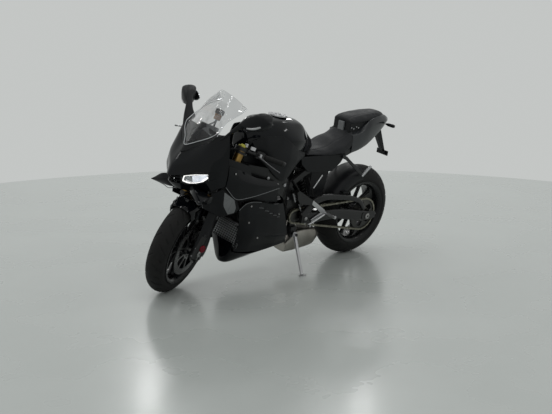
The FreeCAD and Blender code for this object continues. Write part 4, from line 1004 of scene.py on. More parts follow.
@dataclass
class Fork(Assembly):
    """Fork legs, clamps, caps, guards, calipers and the front mudguard."""

    ahead: float = FORK_AHEAD
    track: float = FORK_TRACK
    lug: tuple = ((8, 578), (44, 578), (50, 584), (50, 594), (8, 594))

    def leg(self, profile: Profile, ring: bool = False) -> Form:
        """A turned form on the left leg; heights run along the steering axis."""
        return turned(profile, 40, ring).moved(shift(self.ahead, self.track, 0))

    def fender(self) -> Form:
        """The front mudguard with its lugs on the fork legs."""
        half = [(80, 236), (76, 284), (66, 300), (44, 309), (0, 314)]
        return channel(half, (45, 146, 60), self.ahead, AXLE_HEIGHT, 0.1, 6) + slab(self.lug, 72, 83).pair()

    def guard(self) -> Form:
        """A curved guard round the left leg: y = 104 + 31 sin(half a turn of its width's share).

        Returns:
            A thin-walled form.
        """
        back = spline([(-30, 560), (-45, 513), (-110, 408), (-128, 328), (-110, 296)], 8)
        front = spline([(92, 566), (88, 510), (78, 420), (68, 345), (54, 306)], 8)
        share = np.linspace(0, 1, 12)[None, :, None]
        flat = front[:, None] + (back - front)[:, None] * share
        y = 104 + 31 * np.sin(share[..., 0] * np.pi)
        grid = np.stack([flat[..., 0], np.broadcast_to(y, flat.shape[:2]), flat[..., 1]], -1)
        return shell(grid, 2.5, (-50, 0, 420))

    def caliper(self) -> Form:
        """A two-part caliper round the left disc: rounded sections carried along an arc behind it.

        A section's size is 1 - 0.18 |share|^3 of the middle's, for a share of -1 to 1 along the arc.

        Returns:
            Both halves, the bridge and the caps of its cylinders.
        """
        angle = np.radians(np.linspace(152, 206, 12))[:, None]
        swell = (1 - 0.18 * np.abs(np.linspace(-1, 1, 12)) ** 3)[:, None]
        parts = []
        for y, half_y, radius, half_r in ((84.5, 13, 142, 23), (50, 6, 144, 21), (67, 17, 168.5, 4)):
            ring = rounded(half_r, half_y, 20, 3.4)
            parts.append(lofted(about_axle(radius + ring[:, 0] * swell, y + ring[:, 1] * swell, angle, self.ahead,
                                           AXLE_HEIGHT), 3.0))
        cap = turned([(0, 0), (0, 15), (3.5, 15), (5, 12.5), (5, 0)], 28)
        return joined(*parts, bolted(cap, about_axle(141, 96, np.radians([163, 195]), self.ahead, AXLE_HEIGHT)))

    def build(self) -> None:
        """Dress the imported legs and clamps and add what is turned, bent or bolted on."""
        for node, finish in (("fork_outer_tubes", GOLD), ("fork_inner_tubes", STANCHION), ("fork_feet", FRAME_BLACK),
                             ("triple_clamps", FRAME_BLACK), ("front_axle", STEEL), ("handlebars", FRAME_BLACK)):
            self.dress(node, finish)
        cap = [(984, 0), (984, 25.5), (991, 25.5), (993, 23.5), (993, 15), (999, 14), (1001, 12.5), (1001, 0)]
        self.piece("fork_caps", self.leg(cap).pair(), CAP_YELLOW)
        seal = [(592, 22.3), (592, 29.5), (604, 30.5), (612, 30.5), (613, 27.4), (613, 22.3)]
        self.piece("fork_dust_seals", self.leg(seal).pair(), FRAME_BLACK)
        bolt = cap_screw(5, 6)
        clamps = bolted(bolt, [(self.ahead + x, self.track + 30.5, z)
                               for x, z in ((-18, 783), (-18, 796), (-16, 950))])
        stem_nut = nut(19, 14).moved(shift(0, 0, 958))
        pinch = bolted(bolt, [(self.ahead + 24, self.track, z) for z in (290, 340)], (1, 0, 0))
        self.piece("fork_bolts", clamps.pair() + stem_nut + pinch.pair(), SILVER)
        axle_end = crosswise(turned([(0, 8.6), (0, 19), (5, 19), (7, 16), (7, 8.6)], 6, ring=True), self.ahead, 131,
                             AXLE_HEIGHT)
        self.piece("front_axle_nuts", axle_end.pair(), STEEL)
        self.piece("front_mudguard", self.fender(), GLOSS_BLACK, "front_fender")
        self.piece("fork_leg_guards", self.guard().pair(), SATIN_BLACK)
        lens = turned([(-12, 0), (-12, 20), (4, 23), (8, 19), (8, 0)], 32)
        self.piece("side_reflectors", lens.moved(aimed((22, 136, 350), (0.3, 0.95, 0))).pair(), REFLECTOR)
        sweep = np.radians(np.linspace(54, 98, 12))
        arc = np.stack([np.cos(sweep), np.sin(sweep)], 1)
        flank = [tuple(p) for p in np.concatenate([arc * 280, arc[::-1] * 222]) + (self.ahead, AXLE_HEIGHT)]
        self.piece("fender_flanks", slab(flank, 79, 82).pair(), GLOSS_BLACK, bevel=1)
        sleeve = [(612, 28), (612, 31), (616, 31.5), (752, 31.5), (756, 31), (756, 28)]
        self.piece("fork_sleeve", self.leg(sleeve, ring=True), RIM_BLACK)
        self.piece("front_calipers_two_part", self.caliper().pair(), FRAME_BLACK, "front_calipers")
        line = spline([(-118, 84, 400), (-126, 92, 470), (-70, 116, 560), (-12, 128, 680), (-20, 128, 800),
                       (-44, 118, 900), (-36, 96, 968)], 10)
        self.cord("front_brake_lines", line, 3.6, 10, GRIP_RUBBER)
        union = rod((-118, 82, 388), (-118, 86, 404), 6.5, 12)
        self.piece("brake_unions", union.pair(), SILVER)


@dataclass
class Controls(Assembly):
    """Grips, levers, switchgear and the fluid pot on the handlebars."""

    start: Point = (20.7, 118, 972)
    along: Point = (-124, 227, 21)
    ahead: Point = (0.8776, 0.4794, 0)
    pot: tuple[float, float] = (-8, -127)
    lid_points: int = 96

    def bar_frame(self) -> Matrix:
        """Frame of the left bar.

        Returns:
            A left-handed frame with x ahead of the bar, y upwards and z outwards along it.
        """
        z = Vector(self.along).normalized()
        x = Vector(self.ahead).normalized()
        y = x.cross(z)
        turn = Matrix((x, y, z)).transposed().to_4x4()
        return Matrix.Translation(self.start) @ turn

    def on_bar(self, form: Form) -> Form:
        """A form drawn along the left bar, and its mirror image; the left-handed frame turns faces round."""
        return form.moved(self.bar_frame()).flipped().pair()

    def grip(self) -> Form:
        """A grip with ribs 1.2 high every other step of 2.5 along it, flanged inside."""
        return turned([(126, 11.1), (126, 20), (129, 20), *knurl(130, 240, 2.5, 15.3, 1.2), (241, 15), (242, 13),
                       (242, 11.1)], 40, ring=True)

    def lever(self) -> Form:
        """A curved blade: rounded sections that shrink outwards and swell to a ball at the tip.

        Half the width is 8 - 2.6 share + 3.2 exp(-((share - 1) / 0.06)^2), the share being how far along it is.

        Returns:
            A closed form.
        """
        path = spline([(62, -8, 84), (67, -20, 120), (72, -34, 160), (75, -46, 200), (77, -53, 226)], 6)
        share = np.linspace(0, 1, len(path))
        wide = 8 - 2.6 * share + 3.2 * np.exp(-((share - 1) / 0.06) ** 2)
        ring = rounded(1, 1, 16, 2.6)
        points = np.stack([path[:, None, 0] + ring[:, 0] * wide[:, None],
                           path[:, None, 1] + ring[:, 1] * (wide * 0.55)[:, None],
                           np.broadcast_to(path[:, None, 2], (len(path), 16))], -1)
        return lofted(points, 3.0)

    def build(self) -> None:
        """Everything that stands on the bars."""
        self.piece("handlebar_grips", self.on_bar(self.grip()), GRIP_RUBBER, "grips", sharp=50)
        weight = turned([(242.5, 0), (242.5, 15.5), (254, 15.5), (257, 12.5), (257, 0)], 32)
        self.piece("bar_ends", self.on_bar(weight), FRAME_BLACK)
        # The levers' light grey is a painted highlight along their top edges.
        self.piece("brake_and_clutch_levers", self.on_bar(self.lever()), GUN_GREY_AND_HIGHLIGHT, "levers")
        pads = joined(*(rod((x, 20, z), (x, 25, z), 5, 12) for x, z in ((-8, 86), (6, 92), (-6, 104), (8, 110))))
        perch = rod((52, -14, 96), (52, 10, 96), 8, 20) + block((14, 44), (-8, 2), (87, 104)) \
            + block((-14, 14), (14, 34), (34, 62)) + rod((0, 18, 6), (0, 40, 6), 11, 24)
        self.piece("switch_buttons", self.on_bar(pads), SATIN_BLACK)
        self.piece("lever_perches", self.on_bar(perch), SILVER, bevel=1.2)
        self.fluid_pot()
        lines = spline([(46, 134, 974), (64, 104, 962), (60, 60, 946), (36, 30, 900), (34, 24, 840)], 8)
        self.cord("lever_hoses", lines, 3.4, 10, GRIP_RUBBER)

    def fluid_pot(self) -> None:
        """The brake fluid's pot with its fluted lid, stay and hose."""
        x, y = self.pot
        stand = shift(x, y, 0)
        pot = turned([(1066, 0), (1066, 17), (1070, 21), (1100, 22), (1104, 22), (1104, 0)], 40)
        self.piece("fluid_pot", pot.moved(stand), AMBER, "brake_reservoir")
        angle = full_turn(self.lid_points)
        flutes = 26 + 1.4 * (np.arange(self.lid_points) % 2)
        rings = np.stack([np.stack([flutes * s * np.cos(angle), flutes * s * np.sin(angle), z + 0 * angle], -1)
                          for s, z in ((0.94, 1102), (1, 1105), (1, 1124), (0.95, 1129), (0.8, 1132))])
        self.piece("fluid_pot_lid", lofted(rings).moved(stand), LID_BLACK)
        self.piece("fluid_pot_stay", rod((-2, -122, 987), (x, y, 1066), 6, 16), FRAME_BLACK)
        hose = spline([(x, y, 1064), (-12, -136, 1048), (8, -150, 1024), (34, -156, 1000), (50, -158, 986)], 8)
        self.cord("fluid_hose", hose, 4.2, 10, GRIP_RUBBER, both=False)


# ---------------------------------------------------------------- engine and rear end

@dataclass
class Engine(Assembly):
    """Crankcase, cylinders, covers, coolers with their guard, and the drive sprocket."""

    line: float = CHAIN_LINE
    sprocket: tuple[float, float] = DRIVE_SPROCKET
    sprocket_teeth: int = 17
    cooler: tuple[float, float] = (347, 633)
    cooler_lean: float = 0.19

    @staticmethod
    def screws(x: float, z: float, radius: float, y: float, count: int, side: int) -> Form:
        """A circle of screws on a side cover."""
        return crosswise(ring_of(cap_screw(4.5, 5), count, radius, 12), x, y, z, side)

    def build(self) -> None:
        """Cast pieces first, then covers, screws and coolers."""
        section = [(0, 480), (116, 476), (120, 300), (100, 236), (56, 194), (0, 192)]
        case = body_form([(1040, section), (1010, section), (812, section), (780, section)], 3, 5, 0.2, 0.35, 2)
        barrel = block((886, 1056), (-108, 108), (452, 640))
        fins = joined(*(block((882, 1062), (-112, 112), (z, z + 4)) for z in range(470, 640, 14)))
        gearbox = block((657, 782), (-58, 58), (302, 498))
        shaft = rod((self.sprocket[0], 50, self.sprocket[1]), (self.sprocket[0], 114, self.sprocket[1]), 14)
        ribs = joined(*(block((x, x + 5), (-121.5, 121.5), (300, 460)) for x in (800, 1016)))
        self.piece("engine_castings", joined(case, barrel, gearbox, shaft, ribs), ENGINE_METAL, "engine_block",
                   bevel=3)
        self.piece("cylinder_ribs", fins, ENGINE_METAL, bevel=1)
        clutch = crosswise(turned([(108, 0), (108, 74), (140, 73), (150, 66), (153, 40), (156, 36), (156, 0)], 64),
                           860, 0, 372, -1)
        generator = crosswise(turned([(108, 0), (108, 66), (138, 65), (147, 57), (150, 30), (148, 26), (148, 0)], 64),
                              880, 0, 370)
        self.piece("engine_covers", clutch + generator, ENGINE_METAL)
        heads = self.screws(860, 372, 69, -140, 9, -1) + self.screws(880, 370, 61, 138, 8, 1)
        self.piece("engine_cover_screws", heads, SILVER)
        angle = full_turn(self.sprocket_teeth * 6)
        outer = 42.6 + 3.4 * np.cos(angle * self.sprocket_teeth)
        rings = np.stack([about_axle(s * outer, self.line + y, angle, *self.sprocket)
                          for s, y in ((0.97, -3.4), (1, -2), (1, 2), (0.97, 3.4))])
        self.piece("drive_sprocket_toothed", lofted(rings), SPROCKET_STEEL)
        self.coolers()

    def coolers(self) -> None:
        """Water and oil coolers: tanks, rows of fins, and the honeycomb guard before them."""
        low, high = self.cooler

        def back(z: float, reach: float = 0.0, drop: float = 0.0) -> tuple[float, float]:
            """A place at a reach ahead of the water cooler's leaning rear face at height z, then lowered."""
            return 1092 + (z - low) * self.cooler_lean + reach, z - drop

        tanks = joined(*(slab([back(z0), back(z0, 30, 4), back(z1, 30, 4), back(z1)], y0, y1)
                         for z0, z1, y0, y1 in ((low, high, 132, 150), (low, high, -150, -132),
                                                (high - 14, high, -134, 134), (low, low + 14, -134, 134))))
        rows = joined(*(slab([back(z, 3), back(z, 27, 4), back(z, 27, 1), back(z, 3, -3)], -133, 133)
                        for z in np.arange(low + 18, high - 16, 7.5)))
        posts = joined(*(slab([back(low + 12, 6), back(low + 12, 24, 4), back(high - 12, 24, 4), back(high - 12, 6)],
                              y, y + 1) for y in np.arange(-130, 130, 6.5)))
        oil = joined(*(slab([(1076 + k * 1.9, 236 + k * 10), (1104 + k * 1.9, 232 + k * 10),
                             (1104.6 + k * 1.9, 236 + k * 10), (1076.6 + k * 1.9, 240 + k * 10)], -86, 86)
                       for k in range(9)))
        oil_ends = joined(*(slab([(1076, 236), (1104, 232), (1122, 330), (1094, 334)], y, y + 12) for y in (-88, 76)))
        guard = self.honeycomb((1121, -136, 272), (0, 1, 0), (0.15, 0, 1), 14, 9, 20)
        self.piece("cooler_guard", guard, MESH_GREY, sharp=30)
        lip = spline([(1139, -150, 424), (1150, -120, 436), (1154, 0, 442), (1150, 120, 436), (1139, 150, 424)], 6)
        self.cord("cooler_guard_lip", lip, 8, 12, GUN_GREY_AND_HIGHLIGHT, both=False)
        self.piece("cooler_cores", joined(tanks, rows, posts, oil, oil_ends), CORE, "radiators")

    def honeycomb(self, corner: Point, across: Point, up: Point, columns: int, rows: int, pitch: float) -> Form:
        """A guard of hexagonal holes.

        Cell (i, j) has its middle at corner + i pitch across + j 0.866 pitch up, odd rows shifted by
        half a pitch; border and hole are hexagons of radius pitch / sqrt 3 and 0.74 of that.

        Args:
            corner: the first cell's middle.
            across, up: the directions of its rows and columns.
            columns, rows: how many cells.
            pitch: from one cell to the next.

        Returns:
            A thin perforated form.
        """
        a, b = unit(np.array(across, float)), unit(np.array(up, float))
        n = unit(np.cross(a, b))
        i, j = np.indices((columns, rows)).reshape(2, -1)
        centre = np.array(corner) + np.outer((i + 0.5 * (j % 2)) * pitch, a) + np.outer(j * 0.866 * pitch, b)
        turn = np.radians(np.arange(6) * 60 + 30)
        hexagon = np.outer(np.cos(turn), a) + np.outer(np.sin(turn), b)
        border = centre[:, None] + hexagon * pitch / math.sqrt(3)
        hole = np.broadcast_to(hexagon * pitch / math.sqrt(3) * 0.74, border.shape)
        return perforated(border, centre, hole, np.broadcast_to(n * 1.6, border.shape))


@dataclass
class RearEnd(Assembly):
    """Swingarm, shock, chain, caliper, hugger, exhaust and foot rests."""

    line: float = CHAIN_LINE
    pitch: float = 15.875
    links: int = 118
    rear_pitch_radius: float = REAR_PITCH_RADIUS
    front_pitch_radius: float = 43.2
    sprocket: tuple[float, float] = DRIVE_SPROCKET
    arm: float = 142

    def swingarm(self) -> Form:
        """Braced arms with rounded sections, each run given as (x, z, half the section's height).

        Returns:
            The lower and upper runs of both arms.
        """
        lower = [(-78, 322, 20), (-20, 318, 29), (60, 328, 36), (170, 350, 36), (300, 374, 33), (420, 378, 34),
                 (520, 378, 37), (618, 388, 33)]
        upper = [(30, 372, 14), (90, 436, 16), (190, 470, 17), (300, 490, 18), (420, 504, 19), (510, 488, 24),
                 (566, 440, 28), (610, 400, 26)]
        ring = rounded(1, 1, 20, 4)
        parts = []
        for run in (lower, upper):
            path = spline(run, 6)
            across = unit(np.gradient(path[:, :2], axis=0))[:, ::-1] * (-1, 1)
            flat = path[:, None, :2] + across[:, None] * (ring[:, 0] * path[:, 2:3])[..., None]
            y = np.broadcast_to(self.arm + 13.5 * ring[:, 1], flat.shape[:2])
            parts.append(lofted(np.stack([flat[..., 0], y, flat[..., 1]], -1), 3.0))
        return joined(*parts).pair()

    def path(self) -> tuple[Array, Array]:
        """Where the chain's links are, evenly spaced round its pitch line.

        The line is two tangents and two arcs about the sprockets; points are read from it at equal
        steps of its length.

        Returns:
            The links' middles and directions, both (links, 2).
        """
        rear, front = np.array([0, REAR_AXLE_HEIGHT]), np.array(self.sprocket)
        gap = front - rear
        tilt = math.atan2(gap[1], gap[0])
        spread = math.acos((self.rear_pitch_radius - self.front_pitch_radius) / np.linalg.norm(gap))
        front_arc = np.linspace(tilt + spread, tilt - spread, 40)
        rear_arc = np.linspace(tilt - spread, tilt + spread - 2 * math.pi, 90)
        line = np.concatenate([
            front + self.front_pitch_radius * np.stack([np.cos(front_arc), np.sin(front_arc)], -1),
            rear + self.rear_pitch_radius * np.stack([np.cos(rear_arc), np.sin(rear_arc)], -1)])
        line = np.concatenate([line, line[:1]])
        length = np.concatenate([[0], np.cumsum(np.linalg.norm(np.diff(line, axis=0), axis=1))])
        stops = np.linspace(0, length[-1], self.links + 1)
        joints = np.stack([np.interp(stops, length, line[:, k]) for k in (0, 1)], -1)
        return (joints[:-1] + joints[1:]) / 2, np.diff(joints, axis=0)

    def chain(self) -> Form:
        """Links in turn narrow and wide, each two waisted plates and a roller.

        A plate's half height is 6.2 + 2 cos^2 of the turn round it.

        Returns:
            All the links.
        """
        middle, step = self.path()
        angle = np.degrees(np.arctan2(step[:, 1], step[:, 0]))
        turn, end = full_turn(14), self.pitch / 2
        waist = 6.2 + 2.0 * np.cos(turn) ** 2
        plate = np.stack([np.cos(turn) * (end + waist) * 0.98, np.sin(turn) * waist], -1)
        roller = rod((-end, -6, 0), (-end, 6, 0), 5, 8, 0.4)
        forms = []
        for odd, reach in ((0, 6.4), (1, 8.4)):
            plates = joined(*(slab(plate, y, y + 1.8) for y in (-reach - 0.9, reach - 0.9)))
            forms.append((plates + roller).copies([
                shift(x, self.line, z) @ rotation(-turned_by, "Y")
                for (x, z), turned_by in zip(middle[odd::2], angle[odd::2])]))
        return joined(*forms)

    def exhaust(self) -> Form:
        """Collector box and silencer with smooth skins, and the pipe between them.

        Returns:
            The three closed forms as one.
        """
        box = body_form([(640, [(0, 188), (56, 186), (62, 158), (52, 124), (0, 118)]),
                         (560, [(0, 262), (64, 258), (76, 200), (56, 126), (0, 122)]),
                         (400, [(0, 262), (64, 258), (76, 205), (56, 142), (0, 138)]),
                         (352, [(0, 225), (48, 222), (56, 200), (42, 170), (0, 165)])], 7, 5, 0.7, 0.8, 4)
        can = hull([
            [(490, -172, 268), (490, -172, 205), (490, -205, 190), (490, -228, 220), (490, -215, 272)],
            [(400, -170, 318), (400, -170, 212), (400, -216, 196), (400, -254, 240), (400, -240, 322)],
            [(170, -172, 362), (170, -172, 284), (170, -214, 270), (170, -244, 306), (170, -232, 366)]],
            7, 0.55, 10, 0.8, 5)
        pipe = spline([(470, -30, 205), (467, -90, 210), (452, -150, 226), (420, -196, 244)], 8)
        return joined(box, can, tube(pipe, 25, 28))

    def shock(self) -> Form:
        """The shock's body and spring: seven turns of a helix of radius 22 about its axis.

        Returns:
            The body and the coil.
        """
        start, end = Vector((455, 0, 421)), Vector((548, 0, 632))
        length = (end - start).length
        body = turned([(0, 0), (0, 24), (26, 24), (28, 15), (length - 40, 15), (length - 38, 26), (length, 26),
                       (length, 0)], 32)
        turn = np.linspace(0, 7 * 2 * np.pi, 220)
        helix = np.stack([22 * np.cos(turn), 22 * np.sin(turn), 28 + (length - 68) * turn / turn[-1]], -1)
        out = np.stack([np.cos(turn), np.sin(turn), 0 * turn], -1)
        up = np.cross(unit(np.gradient(helix, axis=0)), out)
        a = full_turn(10)[None, :, None]
        coil = lofted(helix[:, None] + 4.5 * (np.cos(a) * out[:, None] + np.sin(a) * up[:, None]))
        return (body + coil).moved(aimed(start, end - start))

    def build(self) -> None:
        """Everything behind the pivot."""
        bridge = block((395, 500), (-130, 130), (338, 418))
        pivot = rod((590, -156, 385), (590, 156, 385), 20, 40)
        self.piece("swingarm_braced", self.swingarm() + bridge + pivot, FRAME_BLACK, "swingarm")
        dropout = slab([(-84, 300), (-84, 342), (-40, 352), (38, 350), (48, 334), (48, 306), (30, 292), (-40, 290)],
                       153, 160).pair()
        self.piece("axle_blocks", dropout, FRAME_BLACK, bevel=2)
        ends = crosswise(turned([(0, 8.6), (0, 21), (6, 21), (9, 17), (9, 8.6)], 6, ring=True), 0, 160,
                         REAR_AXLE_HEIGHT)
        bolts = crosswise(nut(13, 6), 590, 156, 385)
        adjust = rod((-84, 150, 322), (-94, 150, 322), 4, 10) + nut(7, 5).moved(aimed((-84, 150, 322), (-1, 0, 0)))
        self.piece("rear_axle_nuts", joined(ends.pair(), bolts.pair(), adjust.pair()), STEEL)
        self.dress("rear_axle", STEEL)
        self.piece("shock_and_spring", self.shock(), FRAME_BLACK, "rear_shock")
        self.piece("drive_chain_links", self.chain(), CHAIN_STEEL, "drive_chain", sharp=45)
        guard = spline([(120, 446), (200, 462), (300, 474), (400, 470), (470, 456)], 6)
        top = np.stack([np.stack([guard[:, 0], np.full(len(guard), y), guard[:, 1] + lift], -1)
                        for y, lift in ((101, 0), (103, 8), (112, 11), (121, 8), (123, 0))], 1)
        self.piece("chain_guard", shell(top, 2.5, (300, 112, 300)), SATIN_BLACK)
        half = [(58, 362), (122, 372), (128, 408), (112, 418), (60, 410)]
        caliper = slab(half, -90, -78) + slab(half, -127, -113) + block((112, 127), (-124, -90), (374, 412))
        self.piece("rear_caliper_two_part", caliper, FRAME_BLACK, "rear_caliper", bevel=3)
        hugger = channel([(96, 246), (99, 268), (96, 300), (76, 320), (40, 330), (0, 332)], (20, 84, 40), 0,
                         REAR_AXLE_HEIGHT)
        self.piece("rear_tyre_guard", hugger + block((200, 240), (95, 128), (502, 512)).pair(), SATIN_BLACK,
                   "rear_hugger")
        self.piece("exhaust_box_and_silencer", self.exhaust(), EXHAUST_METAL, "exhaust")
        outlet = turned([(0, 15), (0, 24), (14, 26), (20, 25), (20, 21), (4, 19), (4, 15)], 40, ring=True)
        tail = outlet.moved(aimed((176, -208, 318), (-1, 0, 0.25)))
        self.piece("silencer_outlet", tail, SILVER)
        corners = [[(440, -248, 232), (440, -240, 300)], [(200, -246, 312), (200, -238, 356)]]
        self.piece("silencer_shield", shell(net(corners, 10, 6), 2.0, (320, -100, 280)), SATIN_BLACK)
        self.rests()
        self.cables()

    def rests(self) -> None:
        """Rider's foot rests on their forked brackets and the passenger's folded ones."""
        holder = slab([(706, 574), (690, 590), (556, 508), (560, 474), (640, 492), (664, 478), (674, 504),
                       (690, 525)], 160, 168)
        bosses = rod((688, 96, 560), (688, 170, 560), 12) + rod((650, 96, 494), (650, 170, 494), 9)
        self.piece("foot_rest_hangers", (holder + bosses).pair(), FRAME_BLACK, bevel=2)
        fork = slab([(550, 506), (434, 425), (428, 398), (540, 356), (552, 376), (470, 412), (566, 484)], 160, 168)
        self.piece("foot_rest_brackets", fork.pair(), SILVER, "rearsets", bevel=2)
        direction = Vector((-0.10, 0.99, -0.06))
        peg = turned([(0, 0), (0, 10), (12, 10), *knurl(14, 88, 3.2, 9.3, 1.5), (90, 10), (92, 8), (92, 0)], 20)
        self.piece("foot_pegs", peg.moved(aimed((428, 164, 406), direction)).pair(), SILVER, sharp=50)
        lever = tube(spline([(440, 176, 400), (520, 180, 372), (570, 182, 356), (590, 180, 352)], 6), 5.5)
        toe = rod((590, 176, 352), (590, 208, 352), 7, 16)
        self.piece("pedals", (lever + toe).pair(), SILVER)
        rods = rod((523, 120, 571), (458, 120, 653), 5) + rod((650, 128, 500), (562, 128, 334), 4.5) \
            + rod((700, 126, 560), (674, 126, 502), 8)
        self.piece("shift_rods", rods.pair(), SILVER)
        hanger = slab([(300, 772), (258, 760), (62, 612), (70, 596), (262, 736), (300, 752)], 119, 127)
        self.piece("passenger_hangers", hanger.pair(), FRAME_BLACK, "passenger_pegs", bevel=2)
        fold = Vector((-58, 16, 74))
        short = turned([(0, 0), (0, 8), (6, 8.5), *knurl(10, 88, 4.0, 7.8, 1.2), (93, 7), (94, 0)], 16)
        self.piece("passenger_pegs_folded", short.moved(aimed((78, 124, 604), fold)).pair(), SILVER, sharp=50)

    def cables(self) -> None:
        """Hoses and looms along the frame."""
        runs = ([(1110, 120, 600), (1060, 128, 560), (1010, 122, 500), (990, 118, 440)],
                [(700, 104, 640), (640, 112, 560), (610, 108, 470), (630, 100, 420)],
                [(560, 100, 640), (520, 104, 560), (480, 112, 470), (420, 118, 430)])
        for number, run in enumerate(runs):
            self.cord(f"frame_hose_{number}", spline(run, 8), 9.0 - 2.4 * number, 14, GRIP_RUBBER)


@dataclass
class SideStand(Assembly):
    """The stand's tapered leg, foot and spring."""

    pivot: Point = (640, 130, 272)
    axis: Point = (0, 0.971, 0.238)
    foot: tuple[float, float] = (685 + BIKE_PLACE[0], 295 + BIKE_PLACE[1])

    def build(self) -> None:
        """A leg whose round section tapers from 12.5 to 9, a sole flat on the floor, an eye and its bolt."""
        foot_x, foot_y = self.foot
        upright = BIKE.inverted()
        start, axis = Vector(self.pivot), Vector(self.axis).normalized()
        line = upright @ Vector((foot_x, foot_y, 0)) - start
        leg = tube([start + line * t for t in np.linspace(0, 0.975, 12)], np.linspace(12.5, 9, 12), 20)
        eye = turned([(-7, 6.4), (-7, 17), (-5, 19), (5, 19), (7, 17), (7, 6.4)], 36, ring=True)
        sole = turned([(0, 0), (0, 1), (6, 1), (6, 0)], 40).scaled(29, 17, 1)
        sole = sole.moved(upright @ shift(foot_x - 5, foot_y + 1, 0))
        self.piece("side_stand_leg", joined(leg, eye.moved(aimed(start, axis)), sole), SILVER, "side_stand")
        bolt = nut(11, 6).moved(aimed(start + axis * 14, axis))
        self.piece("side_stand_bolt", bolt, FRAME_BLACK)


# ---------------------------------------------------------------- tank, seats and tail

@dataclass
class TankAndSeats(Assembly):
    """Fuel tank with its cap and knee panels, both seats and the tail."""

    wall: float = 3.0
    voxel: float = 6.0
    cloth_frames: int = 20
    pressure: float = 4.0
    stiffness: float = 15.0
    groove_width: float = 4.5
    tank_stations: tuple = (
        (1072, ((0, 968), (40, 962), (70, 915), (72, 862), (50, 838), (0, 838))),
        (1041, ((0, 999), (58, 986), (95, 930), (98, 868), (70, 830), (0, 830))),
        (960, ((0, 1037), (85, 1020), (142, 945), (146, 860), (95, 802), (0, 802))),
        (850, ((0, 1038), (92, 1020), (165, 940), (162, 850), (100, 790), (0, 790))),
        (750, ((0, 1024), (88, 1004), (160, 922), (150, 840), (100, 784), (0, 784))),
        (660, ((0, 1004), (76, 984), (132, 900), (118, 828), (90, 782), (0, 782))),
        (604, ((0, 962), (60, 940), (96, 868), (86, 815), (62, 784), (0, 784))),
        (534, ((0, 893), (40, 880), (58, 840), (52, 818), (40, 806), (0, 806))))
    rider_stations: tuple = (
        (596, ((0, 803), (60, 801), (88, 796), (94, 791), (0, 791))),
        (500, ((0, 812), (64, 810), (110, 798), (116, 783), (0, 783))),
        (411, ((0, 824), (72, 818), (121, 802), (128, 782), (0, 782))),
        (343, ((0, 857), (78, 849), (127, 822), (133, 782), (0, 782))),
        (284, ((0, 873), (82, 865), (127, 834), (131, 792), (0, 792))),
        (229, ((0, 907), (84, 899), (119, 868), (123, 826), (0, 826))),
        (209, ((0, 929), (82, 923), (111, 892), (115, 848), (0, 848))))
    pillion_stations: tuple = (
        (224, ((0, 984), (54, 982), (76, 973), (80, 961), (0, 961))),
        (200, ((0, 995), (58, 992), (84, 980), (88, 963), (0, 963))),
        (111, ((0, 1009), (60, 1006), (88, 990), (91, 969), (0, 969))),
        (0, ((0, 1017), (58, 1014), (84, 996), (86, 975), (0, 975))),
        (-80, ((0, 1019), (46, 1016), (70, 999), (70, 983), (0, 983))),
        (-132, ((0, 1009), (28, 1007), (46, 998), (46, 991), (0, 991))))
    knee_panel: tuple = (
        ((1072, 108, 924), (1006, 156, 957), (888, 169, 956), (812, 173, 908), (742, 160, 856), (640, 118, 818)),
        ((1062, 128, 874), (1000, 168, 880), (900, 178, 862), (822, 180, 820), (746, 166, 790), (650, 124, 794)),
        ((1046, 140, 830), (985, 168, 774), (922, 172, 716), (850, 170, 668), (785, 160, 704), (706, 130, 772)))

    def padded(self, name: str, form: Form, node: str, swell: float, channels: list[tuple[float, float]]) -> None:
        """A stuffed seat: remeshed, blown up as cloth, its movement capped, smoothed and sewn.

        Args:
            name: the piece's name.
            form: the seat's form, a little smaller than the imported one.
            node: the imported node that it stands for.
            swell: how far a point may move, in millimetres.
            channels: sewn grooves, each as its distance from the centre plane and its depth, in millimetres.
        """
        made = self.piece(name, form, SEAT_COVER, node, sharp=80)
        scene = bpy.context.scene
        bpy.context.view_layer.objects.active = made
        remesh = made.modifiers.new("even", "REMESH")
        remesh.mode, remesh.voxel_size = "VOXEL", self.voxel * MM
        bpy.ops.object.modifier_apply(modifier=remesh.name)
        mesh = made.data
        rest = self.read(mesh, "co")
        cloth = made.modifiers.new("stuffing", "CLOTH")
        cloth.settings.use_pressure = True
        cloth.settings.uniform_pressure_force = self.pressure
        cloth.settings.effector_weights.gravity = 0
        cloth.settings.tension_stiffness = cloth.settings.compression_stiffness = self.stiffness
        cloth.point_cache.frame_start, cloth.point_cache.frame_end = 1, self.cloth_frames
        for count in range(1, self.cloth_frames + 1):
            scene.frame_set(count)
        step = self.read(made.evaluated_get(bpy.context.evaluated_depsgraph_get()).data, "co") - rest
        made.modifiers.remove(cloth)
        scene.frame_set(1)
        length = np.linalg.norm(step, axis=1, keepdims=True) + TINY
        rest = rest + step * np.minimum(1, swell * MM / length)
        mesh.vertices.foreach_set("co", rest.ravel())
        smooth = made.modifiers.new("soft", "SMOOTH")
        smooth.factor, smooth.iterations = 0.5, 6
        bpy.ops.object.modifier_apply(modifier=smooth.name)
        self.sew(made, channels)
        finer = made.modifiers.new("finer", "SUBSURF")
        finer.levels = finer.render_levels = 1
        mesh.polygons.foreach_set("use_smooth", np.ones(len(mesh.polygons), bool))

    @staticmethod
    def read(mesh: bpy.types.Mesh, what: str) -> Array:
        """A value of every vertex.

        Args:
            mesh: the mesh.
            what: "co" for their places or "normal" for their normals.

        Returns:
            Array (vertices, 3).
        """
        values = np.empty(len(mesh.vertices) * 3)
        mesh.vertices.foreach_get(what, values)
        return values.reshape(-1, 3)

